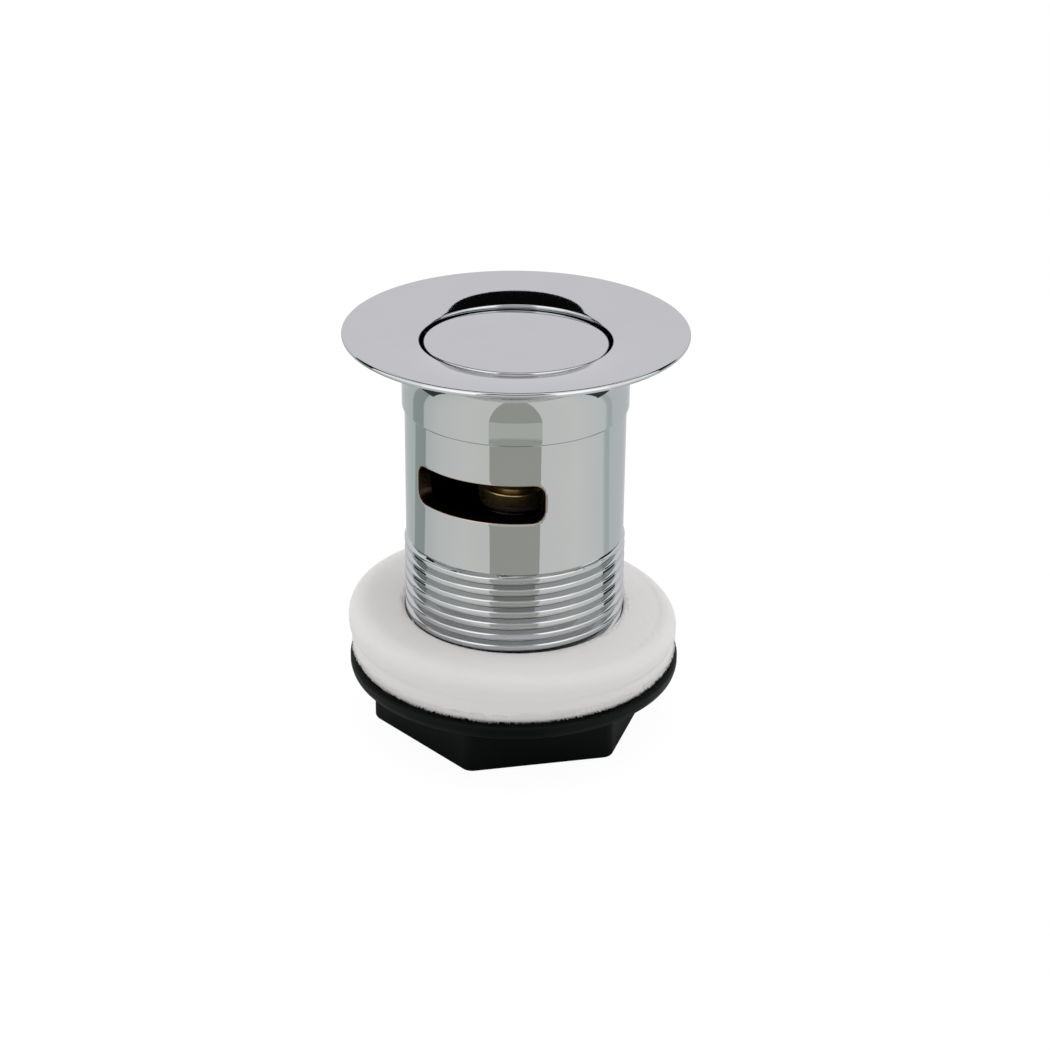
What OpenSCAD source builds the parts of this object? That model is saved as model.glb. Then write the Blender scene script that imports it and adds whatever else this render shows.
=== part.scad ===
// Pop up basin waste: slotted body, push latch plug, foam washer and flanged backnut.
// Sizes are in millimetres. Z is up, zero is the foot of the backnut, the slots face -Y and +Y.
// Levels named *_z are heights above that foot.

/* [Flange] */
// Flange diameter
flange_d = 64; // [60:0.5:72]
// Thickness of the round rim
rim_thick = 1.1; // [0.9:0.1:1.6]
// Radius of the dished top face
dish_radius = 68; // [56:1:120]
// Slope of the dish at the rim, degrees
dish_slope = 2.9; // [2:0.1:5]
// Rounding from the dish into the bore
throat_round = 0.7; // [0.4:0.1:2]
// Width of the flat seat under the rim
seat_width = 1.5; // [1:0.1:3]

/* [Body] */
// Length from the rim to the tail
body_length = 78; // [72:1:110]
// Outside diameter of the thread, G 1 1/4
thread_d = 41.91; // [41.7:0.01:42]
// Pitch of the thread, 11 turns per inch
thread_pitch = 2.309; // [2.309:0.001:2.309]
// Distance from the rim to the start of the thread
thread_drop = 40.4; // [36:0.1:44]
// Chamfer at the tail
tail_chamfer = 1; // [0.5:0.1:1.4]
// How far the plain tube is below the thread's crest, on the radius
tube_relief = 0.3; // [0.1:0.05:0.6]
// How far the neck stands over the thread's crest, on the radius
neck_step = 0.18; // [0.1:0.02:0.24]
// Distance from the rim to the foot of the neck
neck_drop = 14.4; // [13:0.1:17]
// Length of the taper below the neck
neck_taper = 0.4; // [0.3:0.1:2]
// Wall thickness of the plain tube
tube_wall = 2.85; // [2.4:0.05:3.2]

/* [Overflow slots] */
// Number of slots
slot_count = 2; // [1:1:3]
// Height of a slot
slot_height = 7.8; // [6:0.1:10]
// Angle that a slot spans, degrees
slot_span = 76; // [50:1:90]
// Distance from the rim to the middle of a slot
slot_drop = 26.3; // [24:0.1:30]
// Corner radius of a slot
slot_corner = 2.3; // [1:0.1:2.8]

/* [Cross] */
// Number of arms
arm_count = 4; // [3:1:4]
// Width of an arm
arm_width = 3; // [2:0.1:4]
// Height of an arm
arm_height = 6; // [4:0.1:7]
// Diameter of the boss
boss_d = 14; // [13:0.1:16]
// Height of the boss
boss_height = 8; // [7:0.1:10]

/* [Plug] */
// Depth of the closed cap below the rim
plug_drop = 2.5; // [2.2:0.1:2.8]
// Height of the cap's edge
plug_edge = 1; // [0.9:0.05:1.2]
// Rounding of the cap's edge
plug_round = 0.6; // [0.4:0.05:0.9]
// Thickness of the cap
cap_thick = 1.7; // [1.4:0.1:2]
// Diameter of the cap's threaded spigot
spigot_d = 8; // [6:0.1:8]
// Height of the seal carrier
carrier_height = 5.8; // [5.4:0.1:7]
// Thickness of the carrier's web, ribs and rim
carrier_wall = 2; // [1.6:0.1:2.4]
// Number of ribs under the carrier
rib_count = 6; // [4:1:8]
// Section diameter of the O-ring
seal_section = 2.4; // [2:0.1:2.6]
// How far the plug lifts
plug_lift = 7; // [6:0.5:9]

/* [Latch] */
// Outside diameter of the cam sleeve
sleeve_d = 14.2; // [13.6:0.1:15]
// Wall of the cam sleeve
sleeve_wall = 1.4; // [1.2:0.05:1.6]
// Thickness of the sleeve's roof
sleeve_roof = 2.5; // [2:0.1:3]
// Lip of the sleeve below its clip
sleeve_lip = 0.9; // [0.6:0.1:1.4]
// Wall of the two cam rings
cam_wall = 1; // [0.8:0.05:1.2]
// Least height of the upper cam
cam_root = 2.8; // [2.6:0.1:3.4]
// Least height of the lower cam
cam_foot = 1; // [0.8:0.1:2]
// Steps of the rotor in one turn
index_steps = 8; // [8:2:8]
// Radius of a rotor lug
lug_r = 0.75; // [0.6:0.05:0.8]
// Height of the rotor
rotor_height = 2.6; // [2.2:0.1:2.8]
// Step from the post's guide to the rotor's journal
journal_step = 0.6; // [0.5:0.05:0.7]
// Wall of the post round the spring
post_wall = 1.15; // [1:0.05:1.3]
// Thickness of the post's collar
collar_thick = 2.6; // [2:0.1:4]
// Distance across the collar's flats
collar_flats = 12; // [11:0.1:13]
// Diameter of the post's stud
stud_d = 8; // [7:0.1:8]
// Thickness of the clips
clip_thick = 0.7; // [0.6:0.05:0.8]
// Depth of the clips in their grooves
clip_grip = 0.4; // [0.3:0.05:0.45]
// Thickness of the washer below the collar
post_washer_thick = 1; // [0.8:0.1:1.5]
// Distance across the locknut's flats
locknut_flats = 13; // [13:0.5:14]
// Height of the locknut
locknut_height = 4; // [3:0.1:6]
// Wire of the return spring
spring_wire = 0.7; // [0.5:0.05:0.8]
// Turns of the return spring
spring_turns = 10; // [8:1:12]

/* [Washer and backnut] */
// How far the foam washer is inside the backnut's flange, on the radius
washer_inset = 0.35; // [0.2:0.05:2]
// Height of the foam washer
washer_height = 9.4; // [6:0.1:12]
// Rounding of the washer's upper edge
washer_round = 3; // [1:0.1:3.5]
// Rounding of the washer's lower edge
washer_foot_round = 2; // [1:0.1:2.5]
// Distance across the backnut's flats
nut_flats = 48; // [47:0.5:52]
// Corner radius of the backnut
nut_corner = 2; // [1:0.1:3]
// Height of the backnut
nut_height = 13; // [10:0.1:16]
// How far the backnut's flange is inside the top flange, on the radius
nut_flange_inset = 0.25; // [0:0.05:1.5]
// Thickness of the backnut's flange
nut_flange_thick = 2.5; // [2:0.1:3]
// Turn of the backnut as it stands, degrees
nut_angle = 34; // [0:1:59]
// Height of the tail above the backnut's foot
tail_rise = 1; // [0.5:0.1:3]

/* [Clearances] */
// Between the thread and the backnut, on the radius
thread_gap = 0.1; // [0.05:0.01:0.15]
// Between the thread and the foam washer, on the radius
washer_gap = 0.25; // [0.25:0.05:0.4]
// Between the cap and the bore
cap_gap = 0.7; // [0.4:0.05:0.8]
// Between the O-ring and the bore
seal_gap = 0.15; // [0.1:0.01:0.2]
// Between the carrier and the bore
carrier_gap = 0.9; // [0.6:0.05:1]
// Between the cams and the post
guide_gap = 0.2; // [0.15:0.01:0.25]
// Between the lugs and the cam track
track_gap = 0.35; // [0.3:0.01:0.4]
// Between the rotor and its journal
journal_gap = 0.08; // [0.05:0.01:0.1]
// Between pieces that are screwed or set together
seat_gap = 0.05; // [0.03:0.01:0.08]
// Free way of the sleeve below the closed position
over_travel = 1; // [0.8:0.1:1.2]

/* [Quality] */
// Facets of a full circle
$fn = 96; // [48:12:180]

/* [Hidden] */
flange_r = flange_d / 2;
thread_r = thread_d / 2;
tube_r = thread_r - tube_relief;
neck_r = thread_r + neck_step;
bore_r = tube_r - tube_wall;
rim_r = rim_thick / 2;

// Thread: 55 degree flanks with flat crests and roots, its turns drawn as level rings
thread_depth = 0.64 * thread_pitch;
thread_root_r = thread_r - thread_depth;
thread_flank = thread_depth * tan(55 / 2);
thread_flat = thread_pitch / 2 - thread_flank;

rim_z = body_length + tail_rise;
seat_z = rim_z - rim_thick;
neck_z = rim_z - neck_drop;
thread_z = rim_z - thread_drop;
slot_z = rim_z - slot_drop;
thread_turns = floor((thread_z - tail_rise - tail_chamfer) / thread_pitch);

// Dish: one large arc from the rim, met by the throat's arc
dish_x = flange_r - rim_r + dish_radius * sin(dish_slope);
dish_z = rim_z - dish_radius * cos(dish_slope);
throat_x = bore_r + throat_round;
throat_reach = dish_radius - throat_round;
throat_z = dish_z + sqrt(pow(throat_reach, 2) - pow(dish_x - throat_x, 2));
throat_end_x = dish_x - (dish_x - throat_x) * dish_radius / throat_reach;
under_round = flange_r - rim_r - seat_width - neck_r;

// Plug
plug_r = bore_r - cap_gap;
plug_z = rim_z - plug_drop;
cap_under_z = plug_z - cap_thick;
carrier_r = bore_r - carrier_gap;
carrier_z = cap_under_z - carrier_height;
seal_r = seal_section / 2;
seal_x = bore_r - seal_gap - seal_r;
seal_z = carrier_z + 0.8 + seal_r + 2 * seat_gap;
groove_x = seal_x - seal_r - seat_gap;
spigot_r = spigot_d / 2;

// Latch, from the sleeve inwards
sleeve_r = sleeve_d / 2;
sleeve_bore_r = sleeve_r - sleeve_wall;
cam_out_r = sleeve_bore_r - seat_gap;
cam_in_r = cam_out_r - cam_wall;
guide_r = cam_in_r - guide_gap;
journal_r = guide_r - journal_step;
spring_bore_r = journal_r - post_wall;
collar_r = sleeve_r - 0.15;
stud_r = stud_d / 2;
boss_r = boss_d / 2;
lug_tip_r = sleeve_bore_r - 0.2;

// Cam track: straight legs that rise and fall once for each two steps
step_angle = 360 / index_steps;
track_r = (cam_in_r + cam_out_r) / 2;
track_tilt = atan(plug_lift / 2 / (track_r * sin(step_angle / 2)));
track_half = (lug_r + track_gap) / cos(track_tilt);

// Latch, from the top down
roof_z = carrier_z - sleeve_roof;
lug_z = roof_z - cam_root - track_half;
track_z = lug_z - plug_lift / 2;
cam_end_z = lug_z - plug_lift - track_half - cam_foot;
sleeve_clip_z = cam_end_z - seat_gap - clip_thick;
sleeve_end_z = sleeve_clip_z - seat_gap - sleeve_lip;
collar_z = sleeve_end_z - over_travel - 0.1;
collar_foot_z = collar_z - collar_thick;
boss_z = collar_foot_z - post_washer_thick;
boss_foot_z = boss_z - boss_height;
locknut_z = boss_foot_z - locknut_height;
shoulder_z = lug_z - rotor_height / 2 - 0.1;
rotor_clip_z = lug_z + rotor_height / 2 + 0.1;
post_z = rotor_clip_z + clip_thick + seat_gap + 0.6;
spring_foot_z = collar_z + 1.9;

// Washer and backnut
nut_flange_r = flange_r - nut_flange_inset;
washer_r = nut_flange_r - washer_inset;
washer_hole_r = thread_r + washer_gap;
washer_z = nut_height + washer_height;
nut_hole_r = thread_r + thread_gap;
nut_flange_z = nut_height - nut_flange_thick;
nut_round_x = (nut_flats / 2 - nut_corner) / cos(30);

// Half section of one groove of the thread round the level z, from below
function thread_groove(z) = [
    [thread_r, z - thread_flat / 2 - thread_flank],
    [thread_root_r, z - thread_flat / 2],
    [thread_root_r, z + thread_flat / 2],
    [thread_r, z + thread_flat / 2 + thread_flank]
];

// Turned shell of the body, as a half section
module body_section() {
    difference() {
        union() {
            intersection() {
                union() {
                    translate([bore_r, seat_z])
                        square([flange_r - rim_r - bore_r, rim_thick + 1]);
                    translate([bore_r, neck_z])
                        square([neck_r - bore_r, rim_z - neck_z]);
                    under_fillet();
                }
                translate([dish_x, dish_z])
                    circle(r = dish_radius);
            }
            translate([flange_r - rim_r, rim_z - rim_r])
                circle(r = rim_r);
            polygon(concat(
                [
                    [bore_r, tail_rise],
                    [thread_r - tail_chamfer, tail_rise],
                    [thread_r, tail_rise + tail_chamfer]
                ],
                [for (i = [thread_turns - 1 : -1 : 0]) each thread_groove(thread_z - (i + 0.5) * thread_pitch)],
                [
                    [thread_r, thread_z],
                    [tube_r, thread_z + tube_relief],
                    [tube_r, neck_z - neck_taper],
                    [neck_r, neck_z],
                    [neck_r, throat_z],
                    [bore_r, throat_z]
                ]
            ));
        }
        throat_cut();
    }
}

// Hollow rounding between the neck and the flange's seat
module under_fillet() {
    difference() {
        translate([bore_r + 0.5, seat_z - under_round])
            square([neck_r + under_round - bore_r - 0.5, under_round + 0.3]);
        translate([neck_r + under_round, seat_z - under_round])
            circle(r = under_round);
    }
}

// What the throat's rounding takes off the corner of dish and bore
module throat_cut() {
    difference() {
        translate([bore_r - 1, throat_z])
            square([throat_end_x - bore_r + 1, rim_z + 1 - throat_z]);
        translate([throat_x, throat_z])
            circle(r = throat_round);
    }
}

// One overflow slot, facing +X: columns from end to end, each from inside the bore to outside the neck
module slot_cut() {
    corner_angle = asin(slot_corner / tube_r);
    end_angle = slot_span / 2 - corner_angle;
    rise = slot_height / 2 - slot_corner;
    columns = concat(
        [for (a = [0 : 15 : 75]) [-end_angle - corner_angle * cos(a), rise + slot_corner * sin(a)]],
        [for (k = [-4 : 4]) [end_angle * k / 4, slot_height / 2]],
        [for (a = [75 : -15 : 0]) [end_angle + corner_angle * cos(a), rise + slot_corner * sin(a)]]
    );
    last = len(columns) - 1;
    points = [
        for (c = columns)
            for (corner = [[bore_r - 3, -1], [neck_r + 3, -1], [neck_r + 3, 1], [bore_r - 3, 1]])
                [corner[0] * cos(c[0]), corner[0] * sin(c[0]), slot_z + corner[1] * c[1]]
    ];
    sides = [
        for (j = [0 : last - 1])
            for (k = [0 : 3])
                let (a = 4 * j + k)
                let (b = 4 * j + (k + 1) % 4)
                for (half = [[a, b, b + 4], [a, b + 4, a + 4]])
                    half
    ];
    ends = [[3, 2, 1, 0], [for (k = [0 : 3]) 4 * last + k]];
    polyhedron(points = points, faces = concat(sides, ends));
}

// Arms and boss that carry the latch
module cross() {
    difference() {
        union() {
            translate([0, 0, boss_foot_z])
                cylinder(r = boss_r, h = boss_height);
            for (i = [0 : arm_count - 1])
                rotate([0, 0, 45 + i * 360 / arm_count])
                    translate([0, -arm_width / 2, boss_foot_z])
                        cube([bore_r + 0.6, arm_width, arm_height]);
        }
        translate([0, 0, boss_foot_z - 1])
            cylinder(r = stud_r + seat_gap, h = boss_height + 2);
    }
}

module waste_body() {
    color("silver")
        union() {
            difference() {
                rotate_extrude()
                    body_section();
                for (i = [0 : slot_count - 1])
                    rotate([0, 0, i * 360 / slot_count - 90])
                        slot_cut();
            }
            cross();
        }
}

module plug_cap() {
    color("gainsboro")
        rotate_extrude()
            union() {
                polygon([
                    [0, roof_z],
                    [spigot_r, roof_z],
                    [spigot_r, cap_under_z],
                    [carrier_r, cap_under_z],
                    [plug_r, plug_z - plug_edge],
                    [plug_r, plug_z - plug_round],
                    [plug_r - plug_round, plug_z - plug_round],
                    [plug_r - plug_round, plug_z],
                    [0, plug_z]
                ]);
                translate([plug_r - plug_round, plug_z - plug_round])
                    circle(r = plug_round);
            }
}

module seal_carrier() {
    hub_r = sleeve_r + 0.9;
    rim_in_r = groove_x - carrier_wall;
    color("dimgray")
        union() {
            rotate_extrude()
                polygon([
                    [spigot_r + seat_gap, carrier_z],
                    [hub_r, carrier_z],
                    [hub_r, cap_under_z - carrier_wall],
                    [rim_in_r, cap_under_z - carrier_wall],
                    [rim_in_r, carrier_z],
                    [carrier_r, carrier_z],
                    [carrier_r, seal_z - seal_r - 2 * seat_gap],
                    [groove_x, seal_z - seal_r - 2 * seat_gap],
                    [groove_x, seal_z + seal_r + 2 * seat_gap],
                    [carrier_r, seal_z + seal_r + 2 * seat_gap],
                    [carrier_r, cap_under_z],
                    [spigot_r + seat_gap, cap_under_z]
                ]);
            for (i = [0 : rib_count - 1])
                rotate([0, 0, i * 360 / rib_count])
                    translate([hub_r - 0.5, -0.7, carrier_z + 0.8])
                        cube([rim_in_r - hub_r + 1, 1.4, carrier_height - carrier_wall]);
        }
}

module plug_seal() {
    color("black")
        rotate_extrude()
            translate([seal_x, seal_z])
                circle(r = seal_r);
}

module cam_sleeve() {
    groove_r = sleeve_bore_r + clip_grip + seat_gap;
    color("darkslategray")
        rotate_extrude()
            polygon([
                [spigot_r + seat_gap, roof_z],
                [sleeve_bore_r, roof_z],
                [sleeve_bore_r, sleeve_clip_z + clip_thick + seat_gap],
                [groove_r, sleeve_clip_z + clip_thick + seat_gap],
                [groove_r, sleeve_clip_z - seat_gap],
                [sleeve_bore_r, sleeve_clip_z - seat_gap],
                [sleeve_bore_r, sleeve_end_z],
                [sleeve_r, sleeve_end_z],
                [sleeve_r, carrier_z],
                [spigot_r + seat_gap, carrier_z]
            ]);
}

// One step of a cam ring between two levels, cut along the track's leg
module cam_step(i, low, high, cut, up) {
    difference() {
        rotate([0, 0, i * step_angle])
            rotate_extrude(angle = step_angle)
                translate([cam_in_r, low])
                    square([cam_wall, high - low]);
        rotate([0, 0, (i + 0.5) * step_angle])
            translate([0, 0, cut])
                rotate([i % 2 == 0 ? track_tilt : -track_tilt, 0, 0])
                    translate([0, -30, up ? -30 : 0])
                        cube([2 * sleeve_r, 60, 30]);
    }
}

module upper_cam() {
    color("whitesmoke")
        union()
            for (i = [0 : index_steps - 1])
                cam_step(i, cam_end_z, roof_z - seat_gap, track_z + track_half, true);
}

module lower_cam() {
    color("whitesmoke")
        union()
            for (i = [0 : index_steps - 1])
                cam_step(i, cam_end_z, roof_z - seat_gap, track_z - track_half, false);
}

module sleeve_clip() {
    color("lightsteelblue")
        rotate_extrude(angle = 320)
            translate([guide_r + 0.3, sleeve_clip_z])
                square([sleeve_bore_r + clip_grip - guide_r - 0.3, clip_thick]);
}

module index_rotor() {
    color("orange")
        difference() {
            union() {
                translate([0, 0, lug_z - rotor_height / 2])
                    cylinder(r = guide_r, h = rotor_height);
                for (i = [0 : index_steps / 2 - 1])
                    rotate([0, 0, (2 * i + 1) * step_angle])
                        translate([0, 0, lug_z])
                            rotate([0, 90, 0])
                                cylinder(r = lug_r, h = lug_tip_r);
            }
            translate([0, 0, lug_z - rotor_height])
                cylinder(r = journal_r + journal_gap, h = 2 * rotor_height);
        }
}

module rotor_clip() {
    color("lightsteelblue")
        rotate_extrude(angle = 300)
            translate([journal_r - clip_grip + seat_gap, rotor_clip_z])
                square([guide_r - journal_r + clip_grip - seat_gap, clip_thick]);
}

module latch_post() {
    color("goldenrod")
        difference() {
            rotate_extrude()
                polygon([
                    [0, locknut_z - 1],
                    [stud_r - 0.8, locknut_z - 1],
                    [stud_r, locknut_z - 0.2],
                    [stud_r, collar_foot_z],
                    [collar_r, collar_foot_z],
                    [collar_r, collar_z],
                    [guide_r, collar_z],
                    [guide_r, shoulder_z],
                    [journal_r, shoulder_z],
                    [journal_r, rotor_clip_z - seat_gap],
                    [journal_r - clip_grip, rotor_clip_z - seat_gap],
                    [journal_r - clip_grip, rotor_clip_z + clip_thick + seat_gap],
                    [journal_r, rotor_clip_z + clip_thick + seat_gap],
                    [journal_r, post_z],
                    [spring_bore_r, post_z],
                    [spring_bore_r, spring_foot_z],
                    [0, spring_foot_z]
                ]);
            for (side = [0, 180])
                rotate([0, 0, side])
                    translate([collar_flats / 2, -10, collar_foot_z - 0.1])
                        cube([5, 20, collar_thick + 0.2]);
        }
}

module post_washer() {
    color("saddlebrown")
        translate([0, 0, boss_z])
            difference() {
                cylinder(r = boss_r - 0.3, h = post_washer_thick);
                translate([0, 0, -1])
                    cylinder(r = stud_r + seat_gap, h = post_washer_thick + 2);
            }
}

module stud_locknut() {
    color("goldenrod")
        translate([0, 0, locknut_z])
            difference() {
                intersection() {
                    cylinder(r = locknut_flats / 2 / cos(30), h = locknut_height, $fn = 6);
                    translate([0, 0, -1])
                        cylinder(r = locknut_flats / 2 * 1.1, h = locknut_height + 2);
                }
                translate([0, 0, -1])
                    cylinder(r = stud_r + seat_gap, h = locknut_height + 2);
            }
}

// Round wire swept along a helix, with closed turns at both ends
module return_spring() {
    sides = 8;
    steps = 16 * spring_turns;
    wire_r = spring_wire / 2;
    coil_r = spring_bore_r - 0.2 - wire_r;
    low = spring_foot_z + wire_r + seat_gap;
    high = roof_z - wire_r - seat_gap;
    dead = spring_wire * 1.1;
    open = high - low - 2 * dead;
    function level(turn) =
        turn < 1 ? low + dead * turn
        : turn > spring_turns - 1 ? high - dead * (spring_turns - turn)
        : low + dead + open * (turn - 1) / (spring_turns - 2);
    points = [
        for (k = [0 : steps])
            for (s = [0 : sides - 1])
                let (turn = k * spring_turns / steps)
                let (x = coil_r + wire_r * cos(s * 360 / sides))
                [
                    x * cos(turn * 360),
                    x * sin(turn * 360),
                    level(turn) + wire_r * sin(s * 360 / sides)
                ]
    ];
    skin = [
        for (k = [0 : steps - 1])
            for (s = [0 : sides - 1])
                let (a = k * sides + s)
                let (b = k * sides + (s + 1) % sides)
                [a, a + sides, b + sides, b]
    ];
    ends = [
        [for (s = [0 : sides - 1]) s],
        [for (s = [0 : sides - 1]) steps * sides + sides - 1 - s]
    ];
    color("lightsteelblue")
        polyhedron(points = points, faces = concat(skin, ends), convexity = 10);
}

module foam_washer() {
    color("white")
        rotate_extrude()
            union() {
                polygon([
                    [washer_hole_r, nut_height],
                    [washer_r - washer_foot_round, nut_height],
                    [washer_r - washer_foot_round, nut_height + washer_foot_round],
                    [washer_r, nut_height + washer_foot_round],
                    [washer_r, washer_z - washer_round],
                    [washer_r - washer_round, washer_z - washer_round],
                    [washer_r - washer_round, washer_z],
                    [washer_hole_r, washer_z]
                ]);
                translate([washer_r - washer_foot_round, nut_height + washer_foot_round])
                    circle(r = washer_foot_round);
                translate([washer_r - washer_round, washer_z - washer_round])
                    circle(r = washer_round);
            }
}

// Hexagon with round corners
module nut_outline() {
    union() {
        polygon([
            for (i = [0 : 5])
                for (side = [-30, 30])
                    [
                        nut_round_x * cos(60 * i) + nut_corner * cos(60 * i + side),
                        nut_round_x * sin(60 * i) + nut_corner * sin(60 * i + side)
                    ]
        ]);
        for (i = [0 : 5])
            rotate([0, 0, 60 * i])
                translate([nut_round_x, 0])
                    circle(r = nut_corner);
    }
}

module backnut() {
    color("#202020")
        difference() {
            union() {
                rotate([0, 0, nut_angle])
                    linear_extrude(height = nut_flange_z + 0.5)
                        nut_outline();
                translate([0, 0, nut_flange_z])
                    cylinder(r = nut_flange_r, h = nut_flange_thick);
            }
            translate([0, 0, -1])
                cylinder(r = nut_hole_r, h = nut_height + 2);
        }
}

waste_body();
plug_cap();
seal_carrier();
plug_seal();
cam_sleeve();
upper_cam();
lower_cam();
sleeve_clip();
index_rotor();
rotor_clip();
latch_post();
post_washer();
stud_locknut();
return_spring();
foam_washer();
backnut();
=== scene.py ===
"""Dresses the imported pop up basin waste.

The chrome body gets its cut pipe thread and its rounded overflow slots, the plug its polished cap,
the foam washer its soft fuzzy skin and the backnut its moulded plastic. Sizes are in millimetres
until a vertex is made, and Z is up from the backnut's foot, as in the frame.
"""

import logging
import math
from collections.abc import Callable, Sequence
from dataclasses import dataclass, field
from enum import Enum

import bmesh
import bpy
from bmesh.types import BMEdge, BMesh, BMFace, BMVert
from bpy.types import Material, Node, NodeSocket, Object
from mathutils import Matrix, Vector, noise

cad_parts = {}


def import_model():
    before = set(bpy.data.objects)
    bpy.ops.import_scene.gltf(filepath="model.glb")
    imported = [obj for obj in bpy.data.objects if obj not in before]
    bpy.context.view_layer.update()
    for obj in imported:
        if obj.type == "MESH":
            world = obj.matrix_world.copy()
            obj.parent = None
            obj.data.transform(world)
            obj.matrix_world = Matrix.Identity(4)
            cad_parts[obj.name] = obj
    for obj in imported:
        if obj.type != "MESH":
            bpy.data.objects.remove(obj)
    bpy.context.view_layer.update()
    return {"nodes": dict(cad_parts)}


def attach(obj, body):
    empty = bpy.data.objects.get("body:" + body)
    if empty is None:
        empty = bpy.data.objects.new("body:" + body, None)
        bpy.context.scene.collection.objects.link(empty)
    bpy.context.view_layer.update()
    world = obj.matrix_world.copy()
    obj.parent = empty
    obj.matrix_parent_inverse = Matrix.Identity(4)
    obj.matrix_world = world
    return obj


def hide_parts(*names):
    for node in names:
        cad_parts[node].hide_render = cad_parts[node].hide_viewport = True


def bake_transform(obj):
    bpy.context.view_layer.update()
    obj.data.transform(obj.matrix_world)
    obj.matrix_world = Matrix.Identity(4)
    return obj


LOG = logging.getLogger("basin_waste")
MM = 0.001

Point = tuple[float, float]
Corner = tuple[float, float, float]
Colour = tuple[float, float, float]


class Body(str, Enum):
    """The moving bodies of the frame."""

    BODY = "body"
    PLUG = "plug"
    ROTOR = "rotor"
    WASHER = "washer"
    NUT = "nut"


class Seen(Enum):
    """Which rays see a piece of the studio."""

    BY_ALL = "all"
    BY_MIRRORS = "mirrors"


# Sections and meshes


def rounded(corners: Sequence[Corner], steps: int = 4, hold: float = 0.15) -> list[Point]:
    """Draws straight runs with round corners.

    Args:
        corners: Radius, height and corner radius of each point; the two ends stay sharp.
        steps: Facets in each round corner.
        hold: Distance from a corner to the extra point that keeps a long run straight in the shading.

    Returns:
        The points of the line, from the first corner to the last.
    """
    runs: list[list[Vector]] = []
    for k, (r, z, bend) in enumerate(corners):
        tip = Vector((r, z))
        if not bend or k in (0, len(corners) - 1):
            runs.append([tip])
            continue
        back = (Vector(corners[k - 1][:2]) - tip).normalized()
        ahead = (Vector(corners[k + 1][:2]) - tip).normalized()
        half = back.angle(ahead) / 2
        centre = tip + (back + ahead).normalized() * (bend / math.sin(half))
        first = tip + back * (bend / math.tan(half)) - centre
        last = tip + ahead * (bend / math.tan(half)) - centre
        sweep = first.angle_signed(last)
        runs.append([centre + turned(first, -sweep * s / steps) for s in range(steps + 1)])
    line: list[Vector] = []
    for run in runs:
        if line:
            way = run[0] - line[-1]
            if way.length > 4 * hold:
                step = way.normalized() * hold
                line += [line[-1] + step, run[0] - step]
        line += run
    return [(p.x, p.y) for p in line]


def turned(arm: Vector, angle: float) -> Vector:
    """Turns a flat vector by an angle in radians, counter clockwise."""
    c, s = math.cos(angle), math.sin(angle)
    return Vector((arm.x * c - arm.y * s, arm.x * s + arm.y * c))


def arc(centre: Point, radius: float, start: float, end: float, steps: int) -> list[Point]:
    """Draws an arc.

    Args:
        centre: Radius and height of the arc's centre.
        radius: The arc's own radius.
        start: Angle of its first point, degrees from the radial direction.
        end: Angle of its last point.
        steps: Number of facets.

    Returns:
        The points of the arc, both ends included.
    """
    angles = [math.radians(start + (end - start) * k / steps) for k in range(steps + 1)]
    return [(centre[0] + radius * math.cos(a), centre[1] + radius * math.sin(a)) for a in angles]


def edges_at(verts: Sequence[BMVert]) -> list[BMEdge]:
    """The edges at some points, each once and in the same order in every run."""
    return list(dict.fromkeys(e for v in verts for e in v.link_edges))


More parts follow.
